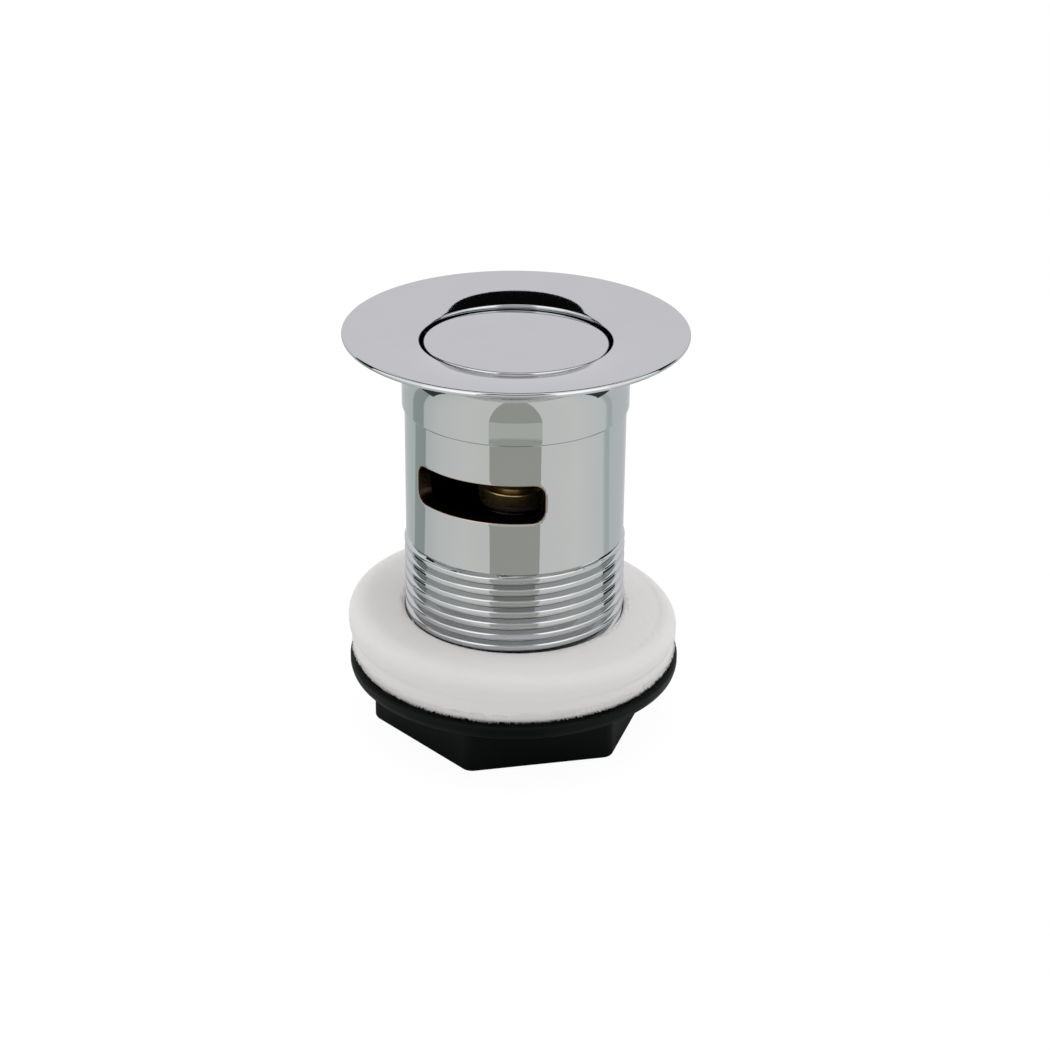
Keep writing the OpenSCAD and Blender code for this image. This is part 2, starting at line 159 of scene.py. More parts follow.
class Shaper:
    """One mesh in the making, with the turning steps that the pieces share."""

    def __init__(self) -> None:
        """Starts from an empty mesh."""
        self.bm: BMesh = bmesh.new()

    def spin(
        self,
        line: Sequence[Point],
        columns: int = 180,
        rise: float = 0.0,
        loop: bool = False,
        skin: int = 0,
    ) -> list[BMFace]:
        """Turns a half section about the Z axis.

        Args:
            line: Radius and height of each point, in millimetres.
            columns: Facets in a full turn.
            rise: How far one turn climbs; above zero it makes a screw's surface.
            loop: Whether the line's end joins its start.
            skin: Material slot of the new faces.

        Returns:
            The new faces.
        """
        verts = [self.bm.verts.new((r * MM, 0, z * MM)) for r, z in line]
        pairs = list(zip(verts, verts[1:], strict=False))
        if loop:
            pairs.append((verts[-1], verts[0]))
        edges = [self.bm.edges.new(pair) for pair in pairs]
        known = set(self.bm.faces)
        bmesh.ops.spin(
            self.bm,
            geom=verts + edges,
            cent=(0, 0, 0),
            axis=(0, 0, 1),
            dvec=(0, 0, rise * MM / columns),
            angle=math.tau,
            steps=columns,
            use_merge=not rise,
        )
        made = [f for f in self.bm.faces if f not in known]
        for f in made:
            f.material_index = skin
        self.weld()
        return [f for f in made if f.is_valid]

    def weld(self) -> None:
        """Merges points that lie on each other, such as a pole's or a screw's turns."""
        bmesh.ops.remove_doubles(self.bm, verts=self.bm.verts, dist=1e-6)

    def rim(self, test: Callable[[Vector], bool]) -> list[BMEdge]:
        """The open edges whose two ends pass a test."""
        return [e for e in self.bm.edges if e.is_boundary and all(test(v.co) for v in e.verts)]

    def bridge(self, edges: Sequence[BMEdge], skin: int = 0) -> None:
        """Joins two open rims with faces of one material slot."""
        for f in bmesh.ops.bridge_loops(self.bm, edges=list(edges))["faces"]:
            f.material_index = skin

    def grow(self, edges: Sequence[BMEdge], skin: int = 0) -> tuple[list[BMVert], list[BMEdge]]:
        """Extrudes a rim in place.

        Args:
            edges: The rim's edges.
            skin: Material slot of the new faces.

        Returns:
            The new rim's points, to be moved, and its edges.
        """
        made = bmesh.ops.extrude_edge_only(self.bm, edges=list(edges))["geom"]
        verts = [g for g in made if isinstance(g, BMVert)]
        fresh = set(verts)
        for f in (g for g in made if isinstance(g, BMFace)):
            f.material_index = skin
        around = edges_at(verts)
        return verts, [e for e in around if e.is_boundary and fresh.issuperset(e.verts)]

    def piece(
        self,
        name: str,
        finishes: Sequence["Finish"],
        sharp: float = 40.0,
        outwards: bool = True,
    ) -> Object:
        """Makes the object.

        Args:
            name: The piece's name.
            finishes: One finish for each material slot.
            sharp: Edges that turn by more degrees than this stay crisp.
            outwards: Whether to turn all faces outwards first.

        Returns:
            The linked object, at the origin.
        """
        if outwards:
            bmesh.ops.recalc_face_normals(self.bm, faces=self.bm.faces)
        mesh = bpy.data.meshes.new(name)
        self.bm.to_mesh(mesh)
        self.bm.free()
        mesh.shade_smooth()
        mesh.set_sharp_from_angle(angle=math.radians(sharp))
        for finish in finishes:
            mesh.materials.append(finish.material())
        made = bpy.data.objects.new(name, mesh)
        bpy.context.scene.collection.objects.link(made)
        return made


def settle(piece: Object, body: Body, slot: str, *nodes: str) -> Object:
    """Sets a finished piece on its body in the frame.

    Args:
        piece: The piece, in place.
        body: The body that carries it.
        slot: The record's material slot of the piece; not used.
        nodes: The CAD nodes that it stands for.

    Returns:
        The same piece.
    """
    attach(piece, body.value)
    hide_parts(*nodes)
    LOG.info("%s: %d faces on %s", piece.name, len(piece.data.polygons), body.value)
    return piece


# Finishes


class Tree:
    """A material's nodes, with short calls for those that the finishes share."""

    def __init__(self, material: Material) -> None:
        """Opens the material's tree, which holds one shader and its output."""
        material.use_nodes = True
        self.nodes = material.node_tree.nodes
        self.links = material.node_tree.links
        self.shader: Node = self.nodes["Principled BSDF"]
        self.place: NodeSocket = self.nodes.new("ShaderNodeTexCoord").outputs["Object"]

    def put(self, kind: str, **inputs: object) -> Node:
        """Adds a node and fills its inputs: sockets are linked and values are set."""
        node = self.nodes.new(kind)
        for name, value in inputs.items():
            socket = node.inputs[name.replace("_", " ")]
            if isinstance(value, NodeSocket):
                self.links.new(value, socket)
            else:
                socket.default_value = value
        return node

    def speckle(self, size: float, detail: float = 3.0, stretch: Colour = (1, 1, 1)) -> NodeSocket:
        """Soft noise.

        Args:
            size: Size of a speckle, in millimetres.
            detail: Octaves of finer noise.
            stretch: Scale along each axis, below one to draw the noise out.

        Returns:
            A value from about 0.3 to 0.7.
        """
        at = self.put("ShaderNodeMapping", Vector=self.place, Scale=stretch).outputs["Vector"]
        cloud = self.put("ShaderNodeTexNoise", Vector=at, Scale=1 / (size * MM), Detail=detail)
        return cloud.outputs["Fac"]

    def cells(self, size: float) -> NodeSocket:
        """Distance to the nearest of many scattered cell centres, of a size in millimetres."""
        scattered = self.put("ShaderNodeTexVoronoi", Vector=self.place, Scale=1 / (size * MM))
        return scattered.outputs["Distance"]

    def between(self, fac: NodeSocket, low: float, high: float, span: Point = (0.3, 0.7)) -> NodeSocket:
        """Maps a value from a span to a range."""
        node = self.put("ShaderNodeMapRange", Value=fac, To_Min=low, To_Max=high)
        node.inputs["From Min"].default_value, node.inputs["From Max"].default_value = span
        return node.outputs["Result"]

    def tint(self, fac: NodeSocket, low: Colour, high: Colour, span: Point = (0.3, 0.7)) -> NodeSocket:
        """Maps a value from a span to a colour."""
        ramp = self.put("ShaderNodeValToRGB", Fac=fac)
        for stop, at, colour in zip(ramp.color_ramp.elements, span, (low, high), strict=True):
            stop.position, stop.color = at, (*colour, 1)
        return ramp.outputs["Color"]

    def set(self, **inputs: object) -> None:
        """Fills the shader's inputs: sockets are linked and values are set."""
        for name, value in inputs.items():
            socket = self.shader.inputs[name.replace("_", " ")]
            if isinstance(value, NodeSocket):
                self.links.new(value, socket)
            else:
                socket.default_value = value

    def bump(self, height: NodeSocket, depth: float, strength: float = 1.0) -> None:
        """Roughens the surface by a height, of a depth in millimetres."""
        node = self.put("ShaderNodeBump", Height=height, Distance=depth * MM, Strength=strength)
        self.set(Normal=node.outputs["Normal"])


def grey(level: float) -> Colour:
    """A grey of one level."""
    return (level, level, level)


def shade(colour: Colour, by: float) -> Colour:
    """Multiplies a colour by a factor."""
    return tuple(min(1.0, c * by) for c in colour)


@dataclass(frozen=True)
class Finish:
    """A finish: the sockets that are the same all over, and a pattern that each kind adds."""

    name: str
    colour: Colour
    roughness: float
    variation: float = 0.06

    def material(self) -> Material:
        """Makes the finish's material, once."""
        made = bpy.data.materials.get(self.name)
        if made is None:
            made = bpy.data.materials.new(self.name)
            self.pattern(Tree(made))
        return made

    def pattern(self, tree: Tree) -> None:
        """Fills the shader; each kind of finish has its own."""
        raise NotImplementedError


@dataclass(frozen=True)
class ChromePlate(Finish):
    """Bright chrome plate: a mirror with the faint haze of a polishing wheel."""

    haze: float = 0.03
    edge: float = 0.85

    def pattern(self, tree: Tree) -> None:
        """Mirror with a little more haze where the wheel passed."""
        cloud = tree.speckle(9.0, 4.0)
        fine = tree.speckle(0.5, 2.0, (1, 1, 0.35))
        tree.set(Metallic=1.0)
        tree.set(Base_Color=tree.tint(cloud, shade(self.colour, 1 - self.variation), self.colour))
        tree.set(Roughness=tree.between(cloud, self.roughness, self.roughness + self.haze))
        tree.set(Specular_Tint=(*grey(self.edge), 1))
        tree.bump(fine, 0.0006)


@dataclass(frozen=True)
class CastBrass(Finish):
    """Brass as it comes from casting or turning: warm, dull and a little stained in random patches; its dark
    colours in this script are painted shade of the tube's inside.
    """

    grain: float = 0.35

    def pattern(self, tree: Tree) -> None:
        """Stains in the colour and grain in the surface."""
        stain = tree.speckle(3.0, 5.0)
        fine = tree.speckle(self.grain, 4.0)
        tree.set(Metallic=1.0, Base_Color=tree.tint(stain, shade(self.colour, 0.55), self.colour))
        tree.set(Roughness=tree.between(fine, self.roughness, self.roughness + 0.2))
        tree.bump(fine, 0.02)


@dataclass(frozen=True)
class MouldedPlastic(Finish):
    """Moulded plastic with a spark eroded texture."""

    grain: float = 0.25
    depth: float = 0.012
    gloss: float = 0.5
    dulling: float = 0.12

    def pattern(self, tree: Tree) -> None:
        """Fine texture with faint flow marks."""
        flow = tree.speckle(6.0, 4.0, (1, 1, 0.4))
        fine = tree.speckle(self.grain, 3.0)
        tree.set(Base_Color=tree.tint(flow, shade(self.colour, 1 - 2 * self.variation), self.colour))
        tree.set(Roughness=tree.between(flow, self.roughness, self.roughness + self.dulling))
        tree.set(Specular_IOR_Level=self.gloss)
        tree.bump(fine, self.depth)


@dataclass(frozen=True)
class SoftFoam(Finish):
    """Closed cell foam: pale, matt and fuzzy, with the skin's fine cells."""

    cell: float = 0.3

    def pattern(self, tree: Tree) -> None:
        """Cells in the surface and faint clouds in the colour."""
        cloud = tree.speckle(4.0, 5.0)
        cells = tree.cells(self.cell)
        tree.set(Base_Color=tree.tint(cloud, shade(self.colour, 1 - self.variation), self.colour))
        tree.set(Roughness=self.roughness, Specular_IOR_Level=0.2, Sheen_Weight=0.25, Sheen_Roughness=0.6)
        tree.bump(cells, 0.06, 0.5)


@dataclass(frozen=True)
class DrawnSteel(Finish):
    """Drawn spring steel with fine lengthwise marks."""

    def pattern(self, tree: Tree) -> None:
        """Fine marks in the roughness."""
        marks = tree.speckle(0.12, 2.0)
        tree.set(Metallic=1.0, Base_Color=tree.tint(marks, shade(self.colour, 0.8), self.colour))
        tree.set(Roughness=tree.between(marks, self.roughness, self.roughness + 0.15))


CHROME = ChromePlate("chrome_plate", (0.53, 0.541, 0.549), 0.02, 0.02, haze=0.02)
WORN_EDGE = ChromePlate("worn_edge", (0.55, 0.43, 0.34), 0.15, 0.1)
# Painted shade: the bore, the slot's walls and the cross get a near black brass for the shade inside the
# tube.
SHADE_DARKENED_INNER_BRASS = CastBrass("shaded_inner_brass", (0.04, 0.027, 0.018), 0.22)
# Painted shade: the post and locknut brass has a near black colour for the dim inside of the tube, not the
# metal's own tone.
SHADE_DARKENED_BRASS = CastBrass("bare_brass", (0.085, 0.058, 0.032), 0.45, grain=0.2)
FOAM = SoftFoam("white_foam", (0.7, 0.676, 0.67), 0.9, 0.04)
NUT_PLASTIC = MouldedPlastic("black_nylon", (0.0015, 0.003, 0.0027), 0.42, 0.1, gloss=0.08)
SLEEVE_PLASTIC = MouldedPlastic("dark_acetal", (0.03, 0.03, 0.03), 0.35, 0.1)
CARRIER_PLASTIC = MouldedPlastic("grey_acetal", (0.16, 0.16, 0.17), 0.4, 0.06)
CAM_PLASTIC = MouldedPlastic("pale_acetal", (0.8, 0.79, 0.76), 0.35, 0.03)
ROTOR_PLASTIC = MouldedPlastic("amber_acetal", (0.62, 0.3, 0.06), 0.35, 0.05)
SEAL_RUBBER = MouldedPlastic("seal_rubber", (0.02, 0.02, 0.02), 0.55, 0.1, grain=0.4)
DARK_FIBRE = MouldedPlastic("dark_fibre", (0.03, 0.02, 0.016), 0.75, 0.12, grain=0.5, depth=0.03)
SPRING_STEEL = DrawnSteel("spring_steel", (0.56, 0.57, 0.58), 0.2)


# The chrome body


@dataclass
class PipeThread:
    """A right hand pipe thread with flattened crests, as plating and wear leave them."""

    crest_r: float = 20.955
    pitch: float = 2.309
    depth: float = 1.2
    crest: float = 0.94
    crest_round: float = 0.3
    flank: float = 27.5
    foot_z: float = 1.0
    top_z: float = 38.5
    chamfer: float = 1.0
    runout: float = 0.3
    runout_r: float = 20.2

    def line(self) -> list[Point]:
        """Draws the thread's half section, a turn longer than needed at each end."""
        root_r = self.crest_r - self.depth
        half = self.crest / 2
        foot = half + self.depth * math.tan(math.radians(self.flank))
        turns = math.ceil((self.top_z - self.foot_z) / self.pitch) + 2
        corners: list[Corner] = []
        for k in range(turns):
            z = self.foot_z + (k - 1) * self.pitch
            corners += [(root_r, z - foot, 0), (self.crest_r, z - half, self.crest_round)]
            corners += [(self.crest_r, z + half, self.crest_round), (root_r, z + foot, 0)]
        return rounded(corners, 3, hold=0.1)

    def cut(self) -> Shaper:
        """Makes the thread's surface between two flat ends, chamfered below and run out above."""
        work = Shaper()
        work.spin(self.line(), rise=self.pitch)
        for v in work.bm.verts:
            r, z = math.hypot(v.co.x, v.co.y) / MM, v.co.z / MM
            limit = self.crest_r - max(0.0, self.chamfer - (z - self.foot_z))
            fade = min(1.0, max(0.0, (z - self.top_z + self.runout) / self.runout))
            wanted = min(r + (self.runout_r - r) * fade, limit)
            v.co.x *= wanted / r
            v.co.y *= wanted / r
        for z, way in ((self.top_z, 1), (self.foot_z, -1)):
            bmesh.ops.bisect_plane(
                work.bm,
                geom=work.bm.verts[:] + work.bm.edges[:] + work.bm.faces[:],
                dist=1e-7,
                plane_co=(0, 0, z * MM),
                plane_no=(0, 0, way),
                clear_outer=True,
            )
        return work


@dataclass
class OverflowSlot:
    """A slot through the tube with round corners and a rolled outer edge."""

    middle_z: float = 52.7
    half_height: float = 3.65
    half_span: float = 37.3
    corner: float = 2.05
    edge_round: float = 0.25
    tube_r: float = 20.655
    bore_r: float = 17.805
    facings: tuple[float, ...] = (-90.0, 90.0)
    steps: int = 4

    def shares(self) -> list[Point]:
        """Cosine and sine of each point of a corner's arc."""
        angles = [math.pi / 2 * k / self.steps for k in range(self.steps + 1)]
        return [(math.cos(a), math.sin(a)) for a in angles]

    def rows(self, widen: float) -> list[float]:
        """Heights, from the lowest, at which the wall needs points for a slot widened on all sides."""
        bend = self.corner + self.edge_round
        flat = self.half_height + widen - bend
        above = [flat + bend * s for _, s in self.shares()]
        return [self.middle_z + d for d in [-d for d in reversed(above)] + [0.0] + above]

    def columns(self) -> dict[int, float]:
        """Where the two degree columns beside a slot's end move, in degrees from its middle."""
        wide = math.degrees(self.edge_round / self.tube_r)
        bend = math.degrees(math.asin((self.corner + self.edge_round) / self.tube_r))
        flat = self.half_span + wide - bend
        ends = [flat + bend * c for c, _ in self.shares()]
        moved = {38 - 2 * k: a for k, a in enumerate(ends)}
        moved |= {28: flat - 2.3, 26: flat - 4.7, 24: 24.4, 40: ends[0] + 1.8, 42: 42.4}
        return moved

    def move_columns(self, bm: BMesh) -> None:
        """Turns the columns beside each slot's ends to the points of its round corners."""
        moved = self.columns()
        for v in bm.verts:
            around = math.degrees(math.atan2(v.co.y, v.co.x))
            for facing in self.facings:
                off = (around - facing + 180) % 360 - 180
                base = round(abs(off) / 2) * 2
                if base in moved:
                    shift = math.copysign(moved[base] - base, off)
                    v.co.rotate(Matrix.Rotation(math.radians(shift), 3, "Z"))
                    break

    def place(self, v: BMVert, facing: float) -> tuple[float, float, float]:
        """A point's angle from the slot's middle in degrees, its height from the middle and its radius."""
        around = math.degrees(math.atan2(v.co.y, v.co.x))
        off = (around - facing + 180) % 360 - 180
        return off, v.co.z / MM - self.middle_z, math.hypot(v.co.x, v.co.y) / MM

    def cut(self, work: Shaper) -> None:
        """Opens the slots in a turned tube whose rows and columns are in place."""
        for facing in self.facings:
            outer = self.open_wall(work, facing, self.tube_r, self.edge_round)
            inner = self.open_wall(work, facing, self.bore_r, 0.0)
            self.line_slot(work, facing, outer, inner)

    def open_wall(self, work: Shaper, facing: float, radius: float, widen: float) -> list[BMEdge]:
        """Takes the faces of one slot out of one wall.

        Args:
            work: The tube.
            facing: Direction of the slot, degrees.
            radius: The wall's radius.
            widen: How much larger the opening is than the slot.

        Returns:
            The edges of the opening.
        """
        bend = self.corner + self.edge_round
        ends = [a for a in self.columns().values()][: self.steps + 1]
        flat_z = self.half_height + widen - bend
        curve = [(a, flat_z + bend * s) for a, (_, s) in zip(ends, self.shares(), strict=True)]
        near: dict[BMVert, Point] = {}
        for v in work.bm.verts:
            off, up, r = self.place(v, facing)
            if abs(r - radius) < 0.05 and abs(off) < ends[0] + 0.02 and abs(up) < curve[-1][1] + 0.02:
                near[v] = (abs(off), abs(up))
        on_arc = [
            v for v, (a, h) in near.items() if any(abs(a - x) < 0.02 and abs(h - y) < 0.02 for x, y in curve)
        ]
        bmesh.ops.connect_verts(work.bm, verts=on_arc)
        inside: list[BMFace] = []
        for f in {f for v in near for f in v.link_faces}:
            if not all(v in near for v in f.verts):
                continue
            a = sum(near[v][0] for v in f.verts) / len(f.verts)
            h = sum(near[v][1] for v in f.verts) / len(f.verts)
            across = max(0.0, (a - ends[-1]) / (ends[0] - ends[-1]))
            along = max(0.0, (h - flat_z) / bend)
            if math.hypot(across, along) < 0.985 or across == 0.0 or along == 0.0:
                inside.append(f)
        bmesh.ops.delete(work.bm, geom=inside, context="FACES")
        rim = set(near)
        return [e for e in work.bm.edges if e.is_boundary and rim.issuperset(v for v in e.verts)]

    def line_slot(self, work: Shaper, facing: float, outer: list[BMEdge], inner: list[BMEdge]) -> None:
        """Makes the slot's wall: a rolled edge outside, then straight through to the bore."""
        half_angle = self.half_span + math.degrees(self.edge_round / self.tube_r)
        wide = self.half_height + self.edge_round, half_angle
        shrunk = (1.0, 1.0)
        edges = outer
        for k in range(1, 4):
            turn = math.pi / 6 * k
            inset = self.edge_round * math.sin(turn)
            deep = self.tube_r - self.edge_round * (1 - math.cos(turn))
            # Skin 2 is the worn edge; skin 1 is the inner brass, darkened as painted shade.
            verts, edges = work.grow(edges, skin=2 if k < 2 else 1)
            target = 1 - inset / wide[0], 1 - math.degrees(inset / self.tube_r) / wide[1]
            for v in verts:
                off, up, _ = self.place(v, facing)
                around = math.radians(facing + off * target[1] / shrunk[1])
                v.co.x, v.co.y = deep * MM * math.cos(around), deep * MM * math.sin(around)
                v.co.z = (self.middle_z + up * target[0] / shrunk[0]) * MM
            shrunk = target
        work.bridge(edges + inner, skin=1)


@dataclass
class WasteBody:
    """Flange, neck, slotted tube, thread and the cross that carries the latch."""

    flange_r: float = 32.0
    rim_z: float = 79.0
    rim_thick: float = 1.1
    dish_radius: float = 68.0
    dish_slope: float = 2.9
    throat_round: float = 0.35
    seat_width: float = 1.5
    neck_r: float = 21.135
    neck_z: float = 64.6
    neck_taper: float = 0.4
    tube_foot_z: float = 38.75
    tail_z: float = 1.0
    arm_width: float = 3.0
    arm_height: float = 6.0
    boss_r: float = 7.0
    boss_hole_r: float = 4.05
    boss_z: tuple[float, float] = (36.816, 44.816)
    plated_z: float = 74.5
    rows_above_slot: tuple[float, ...] = (70.0, 64.0, 58.0)
    rows_below_slot: tuple[float, ...] = (47.5, 40.0, 30.0, 15.0)
    thread: PipeThread = field(default_factory=PipeThread)
    slot: OverflowSlot = field(default_factory=OverflowSlot)

    def shell_line(self) -> list[Point]:
        """Draws the shell from the tube's foot up the outside, over the flange and down the bore."""
        tube, bore = self.slot.tube_r, self.slot.bore_r
        nose = self.rim_thick / 2
        seat_z = self.rim_z - self.rim_thick
        under = self.flange_r - nose - self.seat_width - self.neck_r
        dish = (
            self.flange_r - nose + self.dish_radius * math.sin(math.radians(self.dish_slope)),
            self.rim_z - self.dish_radius * math.cos(math.radians(self.dish_slope)),
        )
        throat_x = bore + self.throat_round
        reach = self.dish_radius - self.throat_round
        throat = throat_x, dish[1] + math.sqrt(reach**2 - (dish[0] - throat_x) ** 2)
        meet = math.degrees(math.acos((throat_x - dish[0]) / reach))

        line: list[Point] = [(self.thread.runout_r, self.tube_foot_z - 0.1), (tube, self.tube_foot_z)]
        line += [(tube, self.tube_foot_z + 0.15)]
        line += [(tube, z) for z in (42.0, 45.0, 48.2, *self.slot.rows(self.slot.edge_round), 57.4, 59.5)]
        line += rounded(
            [
                (tube, 61.0, 0),
                (tube, self.neck_z - self.neck_taper, 0.12),
                (self.neck_r, self.neck_z, 0.12),
                (self.neck_r, seat_z - under - 0.4, 0),
            ]
        )
        line += arc((self.neck_r + under, seat_z - under), under, 180, 90, 20)
        line += arc((self.flange_r - nose, self.rim_z - nose), nose, -90, 90 + self.dish_slope, 12)
        line += arc(dish, self.dish_radius, 90 + self.dish_slope, meet, 30)[1:]
        line += arc(throat, self.throat_round, meet, 180, 14)[1:]
        line += [(bore, throat[1] - 0.1)]
        beside_slot = reversed(self.slot.rows(0.0))
        heights = (self.plated_z, *self.rows_above_slot, *beside_slot, *self.rows_below_slot)
        line += [(bore, z) for z in heights]
        line += [(bore, self.tail_z + 0.6), (bore + 0.6, self.tail_z)]
        return line

    def build(self) -> Object:
        """Makes the body as one closed piece and sets it in the frame."""
        work = Shaper()
        work.spin(self.shell_line())
        # Faces inside the bore below the plating take the inner brass, whose near black colour is painted
        # shade.
        for f in work.bm.faces:
            at = f.calc_center_median()
            if math.hypot(at.x, at.y) < (self.slot.bore_r + 0.4) * MM and at.z < self.plated_z * MM:
                f.material_index = 1
        self.slot.move_columns(work.bm)
        self.slot.cut(work)
        self.join_thread(work)
        self.add_cross(work)
        made = work.piece("chrome_body", [CHROME, SHADE_DARKENED_INNER_BRASS, WORN_EDGE])
        return settle(made, Body.BODY, "chrome", "waste_body")

    def join_thread(self, work: Shaper) -> None:
        """Adds the thread's surface between the tube's foot and the tail."""
        cut = self.thread.cut()
        mesh = bpy.data.meshes.new("thread")
        cut.bm.to_mesh(mesh)
        cut.bm.free()
        work.bm.from_mesh(mesh)
        bpy.data.meshes.remove(mesh)
        upper = (self.thread.top_z - 0.02) * MM, (self.tube_foot_z + 0.02) * MM
        work.bridge(work.rim(lambda p: upper[0] < p.z < upper[1]))
        work.bridge(work.rim(lambda p: p.z < (self.tail_z + 0.02) * MM))

    def add_cross(self, work: Shaper) -> None:
        """Adds the boss and its four arms, which run into the tube's wall."""
        low, high = self.boss_z
        ring = [(self.boss_hole_r, low, 0.3), (self.boss_r, low, 0.5), (self.boss_r, high, 0.5)]
        ring += [(self.boss_hole_r, high, 0.3)]
        middle = (self.boss_hole_r, (low + high) / 2, 0)
        # The boss and its arms take the inner brass, whose near black colour is painted shade.
        work.spin(rounded([middle, *ring, middle], 3)[:-1], 64, loop=True, skin=1)
        span = self.slot.bore_r + 0.6 - self.boss_hole_r - 1
        for k in range(4):
            box = bmesh.ops.create_cube(work.bm, size=MM)["verts"]
            bmesh.ops.scale(work.bm, verts=box, vec=(span, self.arm_width, self.arm_height))
            reach = ((self.boss_hole_r + 1 + span / 2) * MM, 0, (low + self.arm_height / 2) * MM)
            bmesh.ops.translate(work.bm, verts=box, vec=reach)
            turn = Matrix.Rotation(math.radians(45 + 90 * k), 3, "Z")
            bmesh.ops.rotate(work.bm, verts=box, cent=(0, 0, 0), matrix=turn)
            edges = edges_at(box)
            made = bmesh.ops.bevel(
                work.bm, geom=edges, offset=0.6 * MM, affect="EDGES", segments=3, profile=0.5, material=-1
            )
            for f in {f for v in box if v.is_valid for f in v.link_faces} | set(made["faces"]):
                f.material_index = 1


# The plug and its latch


@dataclass
class PushPlug:
    """The cap with its spigot, the carrier below it and the O-ring in the carrier's groove."""

    cap_r: float = 17.105
    cap_z: float = 76.5
    cap_edge: float = 1.0
    cap_round: float = 0.4
    under_z: float = 74.8
    carrier_r: float = 16.905
    carrier_z: float = 69.0
    carrier_wall: float = 2.0
    spigot_r: float = 4.0
    spigot_z: float = 66.5
    seal_r: float = 1.2
    seal_x: float = 16.455
    seal_z: float = 71.1
    hub_r: float = 8.0
    gap: float = 0.05
    ribs: int = 6
    lean: float = 1.25

    def build(self) -> list[Object]:
        """Makes the three pieces and sets them on the plug."""
        return [self.cap(), self.carrier(), self.seal()]

    def tip(self, work: Shaper) -> None:
        """Lets a piece lean towards the front slot, as the plug does in the slack of its seal."""
        turn = Matrix.Rotation(math.radians(-self.lean), 3, "X")
        bmesh.ops.rotate(work.bm, verts=work.bm.verts[:], cent=(0, 0, self.seal_z * MM), matrix=turn)

    def cap(self) -> Object:
        """Turns the cap: flat top, round edge and a spigot below."""
        work = Shaper()
        corners = [
            (0, self.spigot_z, 0),
            (self.spigot_r, self.spigot_z, 0.3),
            (self.spigot_r, self.under_z, 0.3),
            (self.carrier_r, self.under_z, 0.2),
            (self.cap_r, self.cap_z - self.cap_edge, 0.05),
            (self.cap_r, self.cap_z, self.cap_round),
            (0, self.cap_z, 0),
        ]
        work.spin(rounded(corners, 6))
        self.tip(work)
        return settle(work.piece("polished_cap", [CHROME]), Body.PLUG, "chrome_cap", "plug_cap")

    def carrier(self) -> Object:
        """Turns the carrier and adds its ribs."""
        work = Shaper()
        groove_x = self.seal_x - self.seal_r - self.gap
        low, high = self.seal_z - self.seal_r - 2 * self.gap, self.seal_z + self.seal_r + 2 * self.gap
        rim_x = groove_x - self.carrier_wall
        web_z = self.under_z - self.carrier_wall
        hole = self.spigot_r + self.gap
        corners = [
            (hole, (self.carrier_z + self.under_z) / 2, 0),
            (hole, self.carrier_z, 0.2),
            (self.hub_r, self.carrier_z, 0.3),
            (self.hub_r, web_z, 0.4),
            (rim_x, web_z, 0.4),
            (rim_x, self.carrier_z, 0.3),
            (self.carrier_r, self.carrier_z, 0.25),
            (self.carrier_r, low, 0.15),
            (groove_x, low, 0.1),
            (groove_x, high, 0.1),
            (self.carrier_r, high, 0.15),
            (self.carrier_r, self.under_z, 0.2),
            (hole, self.under_z, 0.2),
            (hole, (self.carrier_z + self.under_z) / 2, 0),
        ]
        work.spin(rounded(corners, 3)[:-1], 120, loop=True)
        span = rim_x - self.hub_r + 1
        for k in range(self.ribs):
            box = bmesh.ops.create_cube(work.bm, size=MM)["verts"]
            tall = web_z + 0.5 - self.carrier_z - 0.8
            bmesh.ops.scale(work.bm, verts=box, vec=(span, 1.4, tall))
            middle = ((self.hub_r - 0.5 + span / 2) * MM, 0, (self.carrier_z + 0.8 + tall / 2) * MM)
            bmesh.ops.translate(work.bm, verts=box, vec=middle)
            turn = Matrix.Rotation(math.tau * k / self.ribs, 3, "Z")
            bmesh.ops.rotate(work.bm, verts=box, cent=(0, 0, 0), matrix=turn)
            edges = edges_at(box)
            bmesh.ops.bevel(
                work.bm, geom=edges, offset=0.25 * MM, affect="EDGES", segments=2, profile=0.5, material=-1
            )
        self.tip(work)
        made = work.piece("seal_holder", [CARRIER_PLASTIC])
        return settle(made, Body.PLUG, "grey_plastic", "seal_carrier")

    def seal(self) -> Object:
        """Turns the O-ring."""
        work = Shaper()
        work.spin(arc((self.seal_x, self.seal_z), self.seal_r, 0, 360, 24)[:-1], 144, loop=True)
        self.tip(work)
        return settle(work.piece("o_ring", [SEAL_RUBBER]), Body.PLUG, "seal_rubber", "plug_seal")


